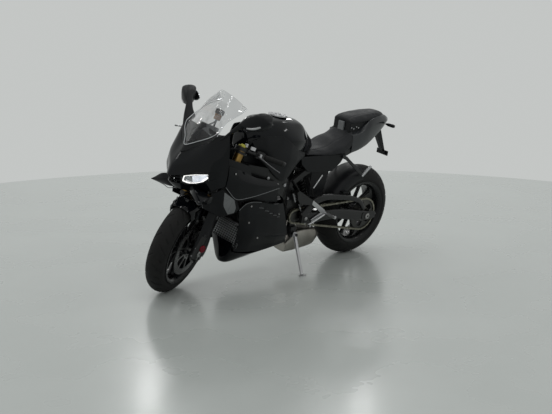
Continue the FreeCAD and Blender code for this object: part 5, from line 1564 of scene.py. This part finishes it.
    def sew(self, made: bpy.types.Object, channels: list[tuple[float, float]]) -> None:
        """Press sewn grooves into a seat's top along lines of constant width.

        A groove at distance w from the centre plane lowers a point by depth exp(-((|y| - w) / width)^2),
        along the machine's up axis and only where the surface looks up.

        Args:
            made: the seat.
            channels: the grooves, each as its distance and its depth, in millimetres.
        """
        points, normals = self.read(made.data, "co"), self.read(made.data, "normal")
        back = np.array(BIKE.inverted())
        local = (points / MM) @ back[:3, :3].T + back[:3, 3]
        up = np.array(BIKE)[:3, 2]
        facing = np.clip((normals @ up - 0.3) * 3, 0, 1)
        for distance, depth in channels:
            drop = depth * np.exp(-((np.abs(local[:, 1]) - distance) / self.groove_width) ** 2) * facing
            points -= drop[:, None] * up * MM
        made.data.vertices.foreach_set("co", points.ravel())
        made.data.update()

    def tail(self) -> None:
        """The tail's shell and the tray under the passenger's pad, then what hangs below them."""
        cowl = body_form([
            (214, [(0, 904), (70, 904), (108, 892), (112, 776), (0, 776)]),
            (140, [(0, 912), (74, 914), (107, 902), (105, 788), (0, 788)]),
            (100, [(0, 932), (80, 938), (105, 918), (100, 798), (0, 798)]),
            (40, [(0, 972), (86, 984), (104, 948), (88, 815), (0, 815)]),
            (-60, [(0, 1000), (72, 1000), (88, 962), (66, 862), (0, 862)]),
            (-140, [(0, 1000), (48, 994), (68, 966), (48, 908), (0, 908)]),
            (-180, [(0, 980), (36, 976), (46, 958), (34, 936), (0, 936)])], 8, 7, 0.9, 0.4, 3)
        self.piece("tail_shell", cowl, TAIL_BLACK, "tail_cowl")
        self.piece("pad_tray", block((20, 220), (-76, 76), (896, 968)), SATIN_BLACK, bevel=4)
        self.piece("pad_tray_front", block((218, 232), (-25, 25), (900, 966)), GREY_TRIM_AND_HIGHLIGHT, bevel=4)
        studs = [(206, 76, 936), (184, 76, 928), (160, 76, 940), (140, 76, 932)]
        self.piece("pad_tray_screws", bolted(cap_screw(5, 3), studs).pair(), SILVER)
        self.covers()
        self.lamps_and_plate()

    def covers(self) -> None:
        """Flat covers, battery box and airbox that close the frame's openings."""
        outline = [(664, 790), (556, 784), (300, 776), (262, 778), (300, 720), (369, 668), (500, 676), (585, 682),
                   (650, 740)]
        self.piece("frame_covers", slab(outline, 111, 115).pair(), SATIN_BLACK, bevel=1.2)
        tray = [(590, 696), (590, 772), (330, 772), (330, 690), (385, 640), (440, 640), (510, 696)]
        right = [(540, 650), (500, 700), (340, 700), (304, 640), (326, 530), (352, 462), (430, 426), (530, 440),
                 (568, 500)]
        left = [(494, 700), (340, 700), (334, 672), (346, 590), (374, 474), (494, 484)]
        ribs = joined(*(block((x, x + 6), (59, 62), (700, 766)) for x in range(372, 580, 34)))
        box = slab(tray, -60, 60) + slab(right, -52, -48) + slab(left, 54, 58) + ribs.pair()
        self.piece("battery_box", box, SATIN_BLACK, "under_seat_box", bevel=1.2)
        cover = slab([(560, 540), (614, 540), (640, 656), (548, 656)], -52, -46) \
            + slab([(591, 700), (650, 706), (652, 770), (591, 772)], -40, 40)
        self.piece("electrics_cover", cover, SATIN_BLACK)
        airbox = [(770, 664), (770, 786), (960, 804), (1040, 832), (1106, 840), (1100, 700), (1062, 650)]
        self.piece("airbox", slab(airbox, -84, 84), SATIN_BLACK, bevel=4)

    def lamps_and_plate(self) -> None:
        """The rear lamp, the indicators and the plate's carrier with its lamp."""
        lamp = slab([(-179, 942), (-179, 968), (-189, 966), (-189, 945)], -31, 31)
        self.piece("tail_lamp", lamp, REAR_LENS, "rear_lamps", bevel=1.5)
        stalk = turned([(0, 0), (0, 6), (10, 7), (18, 10.5), (60, 12), (70, 9.5), (74, 4), (74, 0)], 24)
        self.piece("indicator_bodies", stalk.moved(aimed((-142, 68, 938), (-0.1, 1, 0.0))).pair(), SATIN_BLACK)
        self.piece("indicator_lenses", slab([(-166, 932), (-159, 930), (-159, 945), (-165, 944)], 98, 132).pair(),
                   REAR_LENS, bevel=1.5)
        arm = slab([(-108, 884), (-154, 906), (-242, 728), (-222, 720)], -16, 16)
        plate = block((-242, -236), (-51, 51), (696, 730)) + block((-236, -222), (-34, 34), (702, 724))
        self.piece("plate_bracket", arm + plate, SATIN_BLACK, "plate_carrier", bevel=2)
        lamp_small = turned([(0, 0), (0, 12), (14, 12), (16, 9), (16, 0)], 20)
        self.piece("plate_lamp", lamp_small.moved(aimed((-232, 0, 734), (-0.5, 0, -1))), SATIN_BLACK)

    def build(self) -> None:
        """Tank, cap, panels, seats and tail."""
        tank = body_form(self.tank_stations, 9, 10, 0.9, 0.7, 5)
        self.piece("fuel_tank_shell", tank, GLOSS_BLACK, "fuel_tank", sharp=60)
        tilt = aimed((802, 0, 1031), (-0.14, 0, 1))
        cap = turned([(2, 0), (2, 45), (9, 45), (11, 43), (11, 37), (10, 36.4), (10, 30), (12, 29), (12, 0)], 64)
        key = turned([(12, 0), (12, 8), (13.5, 7), (13.5, 0)], 24)
        bolts = ring_of(cap_screw(3.6, 2), 7, 40.5, 10).moved(shift(0, 0, 10.6))
        self.piece("filler_cap", (cap + key + bolts).moved(tilt @ Matrix.Diagonal((1.2, 1.4, 1, 1))), SILVER,
                   "fuel_cap")
        panel = shell(net(self.knee_panel, 12, 9, 0.6, 0.6), self.wall)
        self.piece("knee_panels", panel.pair(), SATIN_BLACK, "tank_side_covers", sharp=30)
        self.padded("rider_pad", body_form(self.rider_stations, 8, 7, 0.9, 0.5, 3), "rider_seat", 6, [(70, 2.5)])
        self.padded("passenger_pad", body_form(self.pillion_stations, 8, 7, 0.9, 0.5, 3), "pillion_seat", 6,
                    [(48, 2.0)])
        self.tail()


# ---------------------------------------------------------------- front bodywork

@dataclass
class FrontBodywork(Assembly):
    """Nose, lamps, winglets, screen, instrument, mirrors, side panels and belly."""

    wall: float = 3.0
    nose_rails: tuple = (
        ((1520, 0, 662), (1488, 62, 656), (1438, 130, 662), (1398, 178, 678), (1358, 196, 692), (1318, 204, 704)),
        ((1562, 0, 700), (1520, 62, 699), (1476, 134, 714), (1424, 185, 742), (1372, 206, 758), (1318, 214, 768)),
        ((1573, 0, 738), (1535, 62, 753), (1491, 134, 783), (1437, 188, 796), (1380, 210, 802), (1318, 216, 806)),
        ((1550, 0, 795), (1518, 66, 816), (1470, 138, 846), (1420, 184, 864), (1370, 204, 876), (1318, 212, 885)),
        ((1498, 0, 862), (1450, 62, 899), (1411, 130, 943), (1382, 160, 982), (1350, 184, 998), (1318, 196, 1000)))
    screen_rails: tuple = (
        ((1496, 0, 866), (1448, 60, 903), (1409, 128, 947), (1378, 158, 987)),
        ((1412, 0, 1006), (1384, 60, 1020), (1346, 112, 1040), (1306, 138, 1054)),
        ((1318, 0, 1130), (1304, 54, 1138), (1262, 100, 1124), (1206, 138, 1100)),
        ((1242, 0, 1206), (1232, 40, 1196), (1198, 86, 1166), (1150, 118, 1120)))
    inside: Point = (1000, 0, 600)

    @staticmethod
    def whole(rails: tuple) -> Array:
        """Rails of left-hand points carried over the centre plane."""
        left = np.array(rails, float)
        return np.concatenate([left[:, :0:-1] * (1, -1, 1), left], axis=1)

    def skin(self, name: str, grid: Array, finish: Finish, *replaced: str, wall: float = 0.0, both: bool = True,
             sharp: float = 38.0) -> None:
        """A thin-walled piece on a surface grid, as thick as the panels if wall is 0, mirrored if both."""
        form = shell(grid, wall or self.wall, self.inside)
        self.piece(name, form.pair() if both else form, finish, *replaced, sharp=sharp)

    def nose(self) -> None:
        """The nose's skin above and below the lamps, and the strips beside them."""
        rails = self.whole(self.nose_rails)
        self.skin("nose_upper", net(rails[2:], 12, 8, 0.55, 0.75), GLOSS_BLACK, "nose_cowl", both=False, sharp=28)
        self.skin("nose_lower", net(rails[:2], 8, 8, 0.5, 0.75), GLOSS_BLACK, both=False, sharp=28)
        self.skin("nose_sides", net(rails[1:3, 8:], 8, 8, 0.5, 0.7), GLOSS_BLACK, sharp=28)

    def lamps(self) -> None:
        """Headlamps: a bright bowl and light strips behind a clear lens, with a dark surround."""
        front = net(self.whole(self.nose_rails)[1:3, 6:9], 8, 10, 0.5, 0.7)
        self.skin("lamp_housings", front - (26, 0, 0), SATIN_BLACK, "headlamps", wall=12, sharp=30)
        self.skin("lamp_lenses", front - (3, 0, 0), LENS, wall=2.5, sharp=30)
        corners = np.array([(0.8, 0.14), (0.7, 0.93), (0.48, 0.97), (0.1, 0.7), (0.08, 0.3), (0.36, 0.05)])
        last = np.array(front.shape[:2]) - 1
        spots = spline(corners, 8, 0.12, closed=True) * last
        rim = np.clip((spots - 0.47 * last) * 1.3 + 0.47 * last, 0, last)
        self.cord("lamp_light_rings", self.looped(front, spots) - (8, 1, 0), 3.4, 10, LAMP_GLOW)
        self.cord("lamp_bezels", self.looped(front, rim) - (2, 0, 0), 4.5, 10, SATIN_BLACK)
        halo = self.patch(front, (0.24, 0.64, 6), (0.34, 0.86, 16))
        self.skin("lamp_light_panels", halo - (13, 1, 0), LAMP_HALO, wall=4)
        bowl = self.patch(front, (0.12, 0.72, 6), (0.1, 0.92, 16))
        self.skin("lamp_reflectors", bowl - (18, 1, 0), LAMP_BOWL, wall=4)

    def looped(self, grid: Array, spots: Array) -> Array:
        """A closed line on a grid through spots given as (row, column)."""
        steps = np.append(np.arange(len(spots)), 0)
        return self.sampled(grid, *spots.T)[steps, steps]

    def patch(self, grid: Array, rows: tuple[float, float, int], columns: tuple[float, float, int]) -> Array:
        """Part of a grid: first and last share of its rows and columns, and how many of each."""
        return self.sampled(grid, np.linspace(*rows) * (grid.shape[0] - 1),
                            np.linspace(*columns) * (grid.shape[1] - 1))

    @staticmethod
    def sampled(grid: Array, rows: Array, columns: Array) -> Array:
        """The grid read between its points, linearly.

        Args:
            grid: surface points (rows, columns, 3).
            rows, columns: fractional rows and columns to read it at.

        Returns:
            Points (len(rows), len(columns), 3).
        """
        r, c = np.floor(rows).astype(int), np.floor(columns).astype(int)
        r, c = np.minimum(r, grid.shape[0] - 2), np.minimum(c, grid.shape[1] - 2)
        u, v = (rows - r)[:, None, None], (columns - c)[None, :, None]
        a, b = grid[r][:, c], grid[r][:, c + 1]
        d, e = grid[r + 1][:, c], grid[r + 1][:, c + 1]
        return (a * (1 - v) + b * v) * (1 - u) + (d * (1 - v) + e * v) * u

    def intake(self) -> None:
        """The ram-air mouth between the lamps: a funnel behind it and thin vanes across."""
        mouth = net(self.whole(self.nose_rails)[1:3, 4:7], 6, 8, 0.5, 0.7)
        self.skin("air_mouth", mouth - (46, 0, 0), SATIN_BLACK, wall=10, both=False, sharp=30)
        vanes = (shell(self.patch(mouth, (t, t + 0.06, 3), (0.02, 0.98, 24)) - (8, 0, 0), 9, self.inside)
                 for t in (0.3, 0.62))
        self.piece("air_mouth_vanes", joined(*vanes), SATIN_BLACK)

    def winglets(self) -> None:
        """Blades at the chin: hulls of a thin aerofoil section carried from root to tip."""
        blade = hull([
            [(1392, 190, 650), (1396, 186, 610), (1440, 62, 632), (1480, 90, 668), (1486, 122, 702)],
            [(1425, 205, 650), (1432, 190, 606), (1468, 110, 622), (1500, 140, 660), (1500, 165, 688)],
            [(1470, 224, 644), (1475, 214, 628), (1490, 196, 620), (1516, 212, 634), (1508, 218, 650)],
            [(1505, 228, 640), (1508, 226, 634), (1514, 225, 632), (1526, 229, 636), (1518, 229, 640)]],
            5, 0.4, 7, 0.7, 1.5)
        self.piece("winglet_blades", blade.pair(), GLOSS_BLACK, "winglets", sharp=30)
        # A light grey cord along each blade's lower front edge: a painted highlight where the glossy edge catches the
        # light.
        edge = spline([(1440, 66, 630), (1457, 140, 600), (1462, 186, 606), (1500, 216, 626), (1524, 230, 636)], 8)
        self.cord("winglet_edge_highlights", edge, 2.2, 8, GREY_TRIM_AND_HIGHLIGHT)

    def screen(self) -> None:
        """The clear screen, its foot band, painted highlights along its edges, and the instrument behind it."""
        grid = net(self.whole(self.screen_rails), 12, 9, 0.8, 0.8)
        self.skin("screen_sheet", grid, SCREEN, "windscreen", both=False, sharp=40)
        band = self.sampled(grid, np.linspace(0, 3.2, 5), np.arange(grid.shape[1]))
        self.skin("screen_foot", band + (1.5, 0, 1.5), SATIN_BLACK, wall=2, both=False)
        # Thin light tubes along the screen's side edges and across its foot band are painted highlights, not parts.
        edge = self.sampled(grid, np.linspace(0, grid.shape[0] - 1.001, 40), np.array([0.0]))[:, 0]
        foot = self.sampled(grid, np.array([3.4]), np.linspace(0, grid.shape[1] - 1.001, 70))[0] + (2, 0, 2)
        self.piece("screen_edge_highlights", tube(edge, 1.7, 8).pair() + tube(foot, 1.3, 8), SCREEN_EDGE_HIGHLIGHT)
        dash = slab([(1350, 925), (1364, 930), (1316, 1010), (1302, 1004)], -80, 80)
        liner = net(self.whole((
            ((1488, 0, 852), (1442, 60, 888), (1403, 126, 932), (1372, 162, 975)),
            ((1410, 0, 890), (1388, 60, 918), (1356, 120, 950), (1338, 172, 984)),
            ((1338, 0, 970), (1332, 60, 974), (1324, 120, 980), (1316, 186, 992)))), 6, 8, 0.6, 0.8)
        self.piece("cockpit_liner", shell(liner, 2.0, (1400, 0, 1100)), SATIN_BLACK)
        self.piece("instrument_case", dash + block((1235, 1350), (-14, 14), (895, 925)), SATIN_BLACK, "dashboard",
                   bevel=5)
        glass = slab([(1346, 931), (1349, 932), (1307, 1002), (1304, 1001)], -72, 72)
        self.piece("instrument_glass", glass, DASH_GLASS, bevel=0.8)

    def mirrors(self) -> None:
        """Mirror heads on blade arms: smooth sections from the nose to the outer edge."""
        head = hull([
            [(1372, 170, 966), (1366, 176, 962), (1296, 178, 1000), (1294, 172, 1012)],
            [(1338, 212, 1026), (1334, 222, 1018), (1284, 222, 1034), (1286, 212, 1050)],
            [(1303, 252, 1084), (1299, 262, 1060), (1262, 262, 1058), (1264, 252, 1084)],
            [(1298, 276, 1108), (1294, 284, 1060), (1246, 284, 1060), (1248, 276, 1110)],
            [(1290, 304, 1128), (1284, 310, 1058), (1214, 310, 1060), (1212, 302, 1130)],
            [(1276, 340, 1144), (1268, 346, 1066), (1188, 346, 1070), (1184, 338, 1146)],
            [(1258, 368, 1144), (1250, 374, 1082), (1184, 374, 1084), (1180, 366, 1144)],
            [(1240, 386, 1132), (1234, 390, 1100), (1194, 390, 1100), (1190, 384, 1132)],
            [(1222, 396, 1118), (1220, 397, 1110), (1208, 397, 1110), (1206, 395, 1118)]], 6, 1.0, 7, 0.8, 3)
        self.piece("mirror_bodies", head.pair(), SATIN_BLACK, "mirrors", sharp=50)
        # A silver strip along each mirror's lower front face: a painted reflection of the bright floor on that face.
        strip = spline([(1286, 296, 1066), (1279, 320, 1068), (1268, 344, 1076), (1252, 366, 1090)], 8)
        self.cord("mirror_floor_reflection_strips", strip, 8.5, 14, SILVER)
        angle = full_turn(40)
        oval = np.stack([0 * angle, 43 * np.cos(angle), 33 * np.sin(angle) * (1 + 0.12 * np.cos(angle))], -1)
        tilt = np.array(rotation(-8, "Z") @ rotation(14, "X"))[:3, :3]
        face = oval @ tilt.T + (1190, 334, 1096)
        glass = lofted(np.stack([face, face + (-4.5, 0.6, 0)]), 1)
        self.piece("mirror_glasses", glass.pair(), MIRROR_GLASS)

    def panels(self) -> None:
        """Cheek, upper and lower side panels with the grey facet, then their liners and details."""
        cheek = net([
            [(1430, 134, 650), (1390, 172, 660), (1352, 190, 674), (1329, 201, 686), (1234, 219, 612)],
            [(1426, 142, 600), (1388, 164, 588), (1352, 180, 588), (1325, 196, 589), (1206, 216, 560)],
            [(1420, 150, 569), (1360, 156, 536), (1300, 164, 503), (1262, 180, 512), (1222, 204, 533)]],
            10, 8, 0.4, 0.4)
        upper = net([
            [(1310, 213, 826), (1225, 205, 792), (1087, 196, 728), (980, 190, 698), (885, 184, 672)],
            [(1312, 215, 760), (1225, 219, 728), (1095, 216, 692), (985, 208, 668), (888, 197, 655)],
            [(1316, 208, 700), (1240, 218, 622), (1098, 214, 622), (952, 204, 637), (892, 196, 642)]],
            10, 10, 0.6, 0.6)
        lower = net([
            [(1196, 206, 543), (1143, 211, 584), (1060, 212, 580), (950, 204, 550), (880, 197, 540), (836, 189, 535)],
            [(1186, 200, 490), (1130, 214, 500), (1060, 214, 490), (960, 209, 470), (880, 201, 455), (800, 188, 436)],
            [(1158, 176, 425), (1110, 192, 400), (1055, 198, 370), (950, 194, 350), (850, 185, 335), (752, 170, 318)],
            [(1136, 130, 300), (1100, 146, 285), (1045, 156, 275), (940, 158, 268), (840, 155, 262), (735, 143, 262)],
            [(1130, 116, 240), (1095, 126, 232), (1040, 137, 228), (930, 145, 226), (830, 145, 232),
             (724, 136, 240)]], 9, 8, 0.6, 0.55)
        self.skin("side_cheeks", cheek, GLOSS_BLACK, "side_fairings", sharp=25)
        # A light grey cord along each cheek's front edge: a painted highlight line where the edge catches the light.
        self.cord("cheek_front_highlights", cheek[:, 0] + (1, 1, 0), 1.6, 8, GREY_TRIM_AND_HIGHLIGHT)
        self.skin("side_panels_upper", upper, GLOSS_BLACK, sharp=28)
        self.skin("side_panels_lower", lower, GLOSS_BLACK, sharp=28)
        facet = self.sampled(cheek, np.linspace(1.5, 18.5, 8), np.linspace(25.4, 30.0, 6))
        self.skin("cheek_facets", facet + (1.2, 1.6, 0), GREY_TRIM_AND_HIGHLIGHT, wall=1.4)
        # A light grey cord along the upper panel's lower edge: a painted highlight line on that lip.
        self.cord("vent_lips", spline(upper[-1][::4] + (0, 0.6, -1.0), 3), 2.0, 8, GREY_TRIM_AND_HIGHLIGHT)
        self.liners()
        self.panel_details(lower)

    def liners(self) -> None:
        """Dark inner walls seen through the gaps between the panels."""
        inner = net([[(1330, 188, 870), (1230, 186, 836), (1120, 176, 792)],
                     [(1330, 192, 740), (1230, 196, 720), (1110, 190, 680)],
                     [(1330, 182, 640), (1240, 196, 606), (1110, 192, 610)]], 6, 6)
        self.skin("inner_side_liners", inner, SATIN_BLACK, wall=2)
        vent = net([[(1190, 198, 628), (1090, 196, 630), (960, 188, 640), (890, 182, 645)],
                    [(1180, 190, 585), (1090, 192, 590), (960, 184, 560), (880, 178, 545)]], 6, 8)
        self.skin("vent_liners", vent, SATIN_BLACK, wall=2)

    def panel_details(self, lower: Array) -> None:
        """Painted highlight lines on edges and slot lips, a slanting row of dark slits as painted vent shade, and
        screws on the side panels.

        Args:
            lower: the lower side panel's grid.
        """
        # A light grey cord along the lower panel's top edge: a painted highlight line.
        self.cord("panel_edge_highlights", spline(lower[0][:24:6] + (0, 0.8, 0.6), 3), 1.5, 8, GREY_TRIM_AND_HIGHLIGHT)
        # Dark slits laid on the panel paint the shade inside vent openings; grey tubes on their lower lips are
        # painted highlights.
        rows, columns = 0.05 + 0.035 * np.arange(5), 0.42 + 0.09 * np.arange(5)
        slots = [self.patch(lower, (r, r + 0.05, 3), (c, c + 0.07, 6)) for r, c in zip(rows, columns)]
        painted_slot_shades = joined(*(shell(slot + (0, 1.4, 0), 1.6, self.inside) for slot in slots))
        self.piece("panel_vent_slot_shades", painted_slot_shades.pair(), SATIN_BLACK)
        lips = joined(*(tube(slot[-1] + (0, 1.6, 0), 1.3, 8) for slot in slots))
        self.piece("panel_vent_lip_highlights", lips.pair(), GREY_TRIM_AND_HIGHLIGHT)
        spots = [(1262, 217, 776), (905, 191, 664), (1112, 209, 456), (1112, 213.4, 560), (870, 198, 470),
                 (1020, 197, 340), (780, 148, 275)]
        self.piece("panel_screws", bolted(cap_screw(5.5, 2.4), spots, (0, 1, 0.15)).pair(), STEEL)

    def belly(self) -> None:
        """The pan under the engine."""
        rails = self.whole((((1140, 0, 286), (1138, 60, 286), (1130, 102, 284)),
                            ((1138, 0, 134), (1126, 48, 146), (1118, 92, 224)),
                            ((1010, 0, 124), (1012, 58, 152), (1000, 114, 200)),
                            ((885, 0, 140), (850, 64, 178), (870, 126, 214)),
                            ((730, 0, 154), (735, 62, 186), (735, 122, 230))))
        self.skin("belly_shell", net(rails, 9, 9, 0.7, 0.8), GLOSS_BLACK, "belly_pan", both=False, sharp=30)

    def build(self) -> None:
        """Every piece ahead of the tank."""
        for part in (self.nose, self.lamps, self.intake, self.winglets, self.screen, self.mirrors, self.panels,
                     self.belly):
            part()


@dataclass
class Frame(Assembly):
    """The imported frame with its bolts."""

    def build(self) -> None:
        """Dress the frame and bolt the engine to it."""
        self.dress("main_frame", FRAME_BLACK)
        spots = ((1120, 112, 745), (960, 157, 700), (820, 159, 640), (720, 97, 520), (660, 97, 420))
        self.piece("frame_bolts", bolted(nut(11, 7), spots).pair(), SILVER)


# ---------------------------------------------------------------- studio

@dataclass
class Studio:
    """Floor, lights, backdrop colour and camera."""

    floor_radius: float = 4800.0
    sky: Point = (0.94, 0.968, 0.95)
    sky_strength: float = 0.585
    panel_size: tuple[float, float] = (1.2, 0.22)
    camera_place: Point = (3.3724, 3.6806, 1.377)
    heading: float = -131.545
    pitch: float = -10.72
    lens: float = 52.67

    def floor(self) -> None:
        """A round pale floor, glossy enough to mirror the machine softly."""
        disc = turned([(-40, 0), (-40, self.floor_radius), (0, self.floor_radius), (0, 0)], 160)
        made = bpy.data.objects.new("studio_floor", disc.mesh("studio_floor", Matrix.Identity(4)))
        bpy.context.scene.collection.objects.link(made)
        finish = Finish("studio_floor_paint", "floor", (0.465, 0.49, 0.475), (0.505, 0.53, 0.515), (0.24, 0.32),
                        specular=0.55, coat=0.5, coat_roughness=0.18, drift=1.3, grain=30, relief=0.01)
        made.data.materials.append(finish.material())
        made.data.shade_flat()

    def lights(self) -> None:
        """Soft panels overhead and beyond the machine, under an even pale sky; places are in metres."""
        world = bpy.data.worlds.new("studio")
        bpy.context.scene.world = world
        world.use_nodes = True
        background = world.node_tree.nodes["Background"].inputs
        background["Color"].default_value, background["Strength"].default_value = (*self.sky, 1), self.sky_strength
        bpy.context.scene.view_settings.view_transform = "Standard"
        overhead = [(x, y, 4.4, 9.0) for x in (-4.2, -1.8, 0.6, 3.0) for y in (-3.6, -0.6, 2.4)]
        behind = [(-1.95, -4.83, 3.0, 12.0), (-4.02, -3.0, 3.0, 12.0)]
        for number, (x, y, z, power) in enumerate(overhead + behind):
            data = bpy.data.lights.new(f"panel_{number}", "AREA")
            data.shape, data.energy, (data.size, data.size_y) = "RECTANGLE", power, self.panel_size
            lamp = bpy.data.objects.new(f"panel_{number}", data)
            lamp.location, lamp.rotation_euler = (x, y, z), (0, 0, math.radians(self.heading))
            bpy.context.scene.collection.objects.link(lamp)

    def camera(self) -> None:
        """The camera, low and to the left of the front."""
        data = bpy.data.cameras.new("camera")
        data.lens, data.sensor_width = self.lens, 36.0
        made = bpy.data.objects.new("camera", data)
        made.location = self.camera_place
        made.rotation_euler = (math.radians(90 + self.pitch), 0, math.radians(self.heading - 90))
        bpy.context.scene.collection.objects.link(made)
        bpy.context.scene.camera = made

    def build(self) -> None:
        """Set the stage."""
        self.floor()
        self.lights()
        self.camera()


def main() -> None:
    """Build every assembly in order."""
    logging.basicConfig(level=logging.INFO, format="%(name)s: %(message)s")
    assemblies = (
        Wheel(Place.FRONT_WHEEL),
        Wheel(Place.REAR_WHEEL, end=End.REAR, radius=320.0, crown=92.0, bead=80.0, hub=(-102.5, 109.0),
              hub_radius=46.0, pitches=17, disc_radius=110.0, disc_tracks=(-105.0,)),
        Sprocket(Place.REAR_WHEEL), Fork(Place.STEERING), Controls(Place.STEERING), Frame(Place.CHASSIS),
        Engine(Place.CHASSIS), RearEnd(Place.CHASSIS), SideStand(Place.STAND), TankAndSeats(Place.CHASSIS),
        FrontBodywork(Place.CHASSIS), Studio())
    for assembly in assemblies:
        LOG.info("building %s", type(assembly).__name__)
        assembly.build()


if __name__ == "__main__":
    main()
